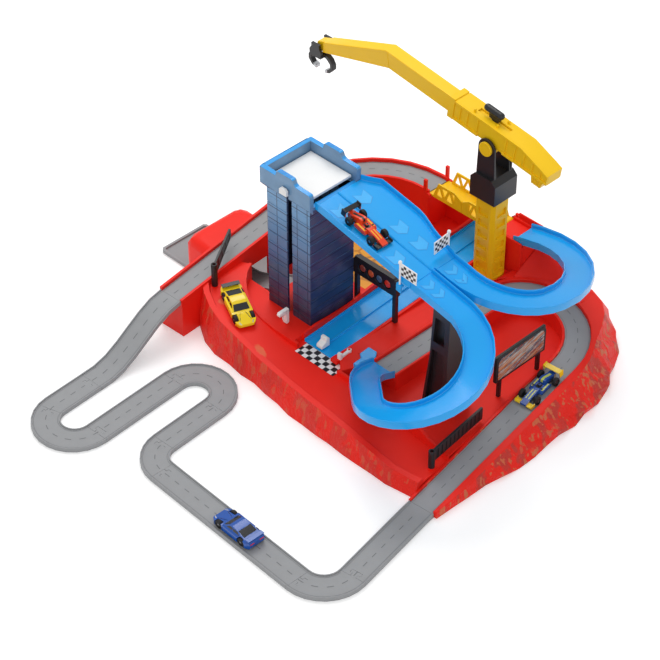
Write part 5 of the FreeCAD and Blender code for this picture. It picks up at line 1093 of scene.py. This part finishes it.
def racer(name, paint, wing_color, accent):
    """Open-wheel car: coloured wings and stripes, cockpit, suspension arms."""
    matrix = framed(name)
    body = body_of[name]
    x, y, z = paint.local(matrix)
    wide = paint.math("ABSOLUTE", y)
    ends = paint.math("MAXIMUM", paint.ramp(x, 28.2, 28.8), paint.ramp(x, -28.2, -28.8))
    outer = paint.math("MAXIMUM", paint.ramp(wide, 4.9, 5.1), paint.ramp(z, 13.6, 14.0))
    paint.over(paint.times(ends, outer), wing_color)
    # Stripes on the spine, on the side pods and on the nose
    for back, front, near, far, color in (
            (-27.0, -6.0, 0.0, 1.7, accent[0]), (-13.0, 5.0, 7.4, 9.2, accent[1]),
            (10.0, 27.0, 1.6, 2.8, accent[1])):
        paint.over(paint.times(paint.inside(x, back, front), paint.inside(wide, near, far)), color)
    wear(nodes[name], paint)
    bm = bmesh.new()
    seat = [(5.6, 0.0), (4.2, 2.6), (0.0, 3.7), (-4.6, 3.4), (-4.6, -3.4), (0.0, -3.7), (4.2, -2.6)]
    # The seat's top rises towards the nose
    plate(bm, seat, lambda a, b, top: within(matrix, a, b, 9.35 + 0.16 * max(a, 0) if top else 8.6),
          False, True)
    for sign in (-1, 1):
        for at in (AXLE_X, -AXLE_X):
            for lead, rise in ((-5.5, 4.6), (4.5, 4.6), (-4.5, 7.6), (5.0, 7.6)):
                rod(bm, within(matrix, at + lead, sign * 4.6, rise),
                    within(matrix, at, sign * 10.4, WHEEL_Z), 0.45 * MM)
        rod(bm, within(matrix, 1.5, sign * 4.2, 9.0), within(matrix, 3.4, sign * 6.8, 10.6),
            0.35 * MM)
        plate(bm, [(3.0, 5.6), (4.2, 5.6), (4.2, 8.2), (3.0, 8.2)],
              lambda a, b, h: within(matrix, a, sign * b, h), 10.0, 11.4)
    solid(name + "_fittings", bm, black, body)
    bm = bmesh.new()
    dome = matrix @ Matrix.Translation(Vector((-1.0, 0, 9.2)) * MM)
    turned(bm, in_metres([(2.7, 0), (2.7, 1.6), (2.2, 2.9), (1.2, 3.6), (0, 3.8)]), dome, 18)
    rounded(solid(name + "_headrest", bm, glass, body))
    wheels(name, matrix, steel)


yellow_paint = Look("yellow car paint", (0.93, 0.66, 0.015), 0.18).mottle(80, 0.04).grain(*POLISHED)
blue_paint = Look("blue car paint", (0.010, 0.085, 0.40), 0.16).mottle(80, 0.08).grain(*POLISHED)
red_paint = Look("red racer paint", (0.80, 0.055, 0.012), 0.20).mottle(80, 0.05).grain(*POLISHED)
stripe_paint = Look("blue racer paint", (0.012, 0.070, 0.33), 0.26, 0.35).mottle(
    80, 0.08).grain(*POLISHED)
coupe("yellow_car", yellow_paint, black, True)
coupe("blue_car", blue_paint, glass, False)
racer("red_racer", red_paint, BLACK, (BLACK, (0.85, 0.48, 0.03)))
racer("blue_racer", stripe_paint, (0.92, 0.62, 0.02), ((0.50, 0.58, 0.10), (0.60, 0.62, 0.08)))

# Studio

# The floor glows a little where it is seen, and more so far from the toy, up to a white horizon
floor_look = Look("studio floor", (0.93, 0.93, 0.93), 0.9, 0.1)
seen = floor_look.node("ShaderNodeLightPath").outputs
lit = floor_look.math("MAXIMUM", seen["Is Camera Ray"], floor_look.math(
    "MAXIMUM", seen["Is Glossy Ray"], seen["Is Transmission Ray"]))
set_color(floor_look.shader.inputs["Emission Color"], (1.0, 1.0, 1.0))
x, y, _ = floor_look.axes()
reach = floor_look.total(x, y, (x, y))
lift = floor_look.total(0.24, floor_look.times(floor_look.ramp(reach, 0.8, 2.6), 0.7))
floor_look.link(floor_look.times(lit, lift), floor_look.shader.inputs["Emission Strength"])
bpy.ops.mesh.primitive_plane_add(size=14, location=(0, 0, -0.0004))
floor = bpy.context.object
floor.name = "studio_floor"
floor.data.materials.append(floor_look.material)

# A plain white backdrop, brighter where it is seen than as a light
world = bpy.data.worlds.new("studio")
scene.world = world
world.use_nodes = True
tree = world.node_tree
background, backdrop = tree.nodes["Background"], tree.nodes.new("ShaderNodeBackground")
background.inputs["Strength"].default_value = 0.68
for shader in (background, backdrop):
    set_color(shader.inputs["Color"], (1.0, 1.0, 1.0))
path, choice = tree.nodes.new("ShaderNodeLightPath"), tree.nodes.new("ShaderNodeMixShader")
for a, b in ((path.outputs["Is Camera Ray"], choice.inputs[0]),
             (background.outputs[0], choice.inputs[1]), (backdrop.outputs[0], choice.inputs[2]),
             (choice.outputs[0], tree.nodes["World Output"].inputs["Surface"])):
    tree.links.new(a, b)


def area_light(name, where, aim, size, power):
    data = bpy.data.lights.new(name, "AREA")
    data.shape = "SQUARE"
    data.size = size
    data.energy = power
    light = added(name, data)
    light.location = where
    light.rotation_euler = (Vector(aim) - Vector(where)).to_track_quat("-Z", "Y").to_euler()


area_light("key", (-0.9, 0.6, 1.9), (0, 0, 0), 1.2, 19)
area_light("fill", (1.2, -1.4, 1.6), (0, 0, 0.05), 1.6, 7)

camera_data = bpy.data.cameras.new("camera")
camera_data.lens = 122.3
camera_data.sensor_width = 36
camera_data.clip_end = 50
camera = added("camera", camera_data)
camera.location = place(1723.9, -1706.0, 2056.8)
camera.rotation_euler = (math.radians(49.7), 0, math.radians(45.3))
scene.camera = camera
scene.view_settings.view_transform = "Standard"
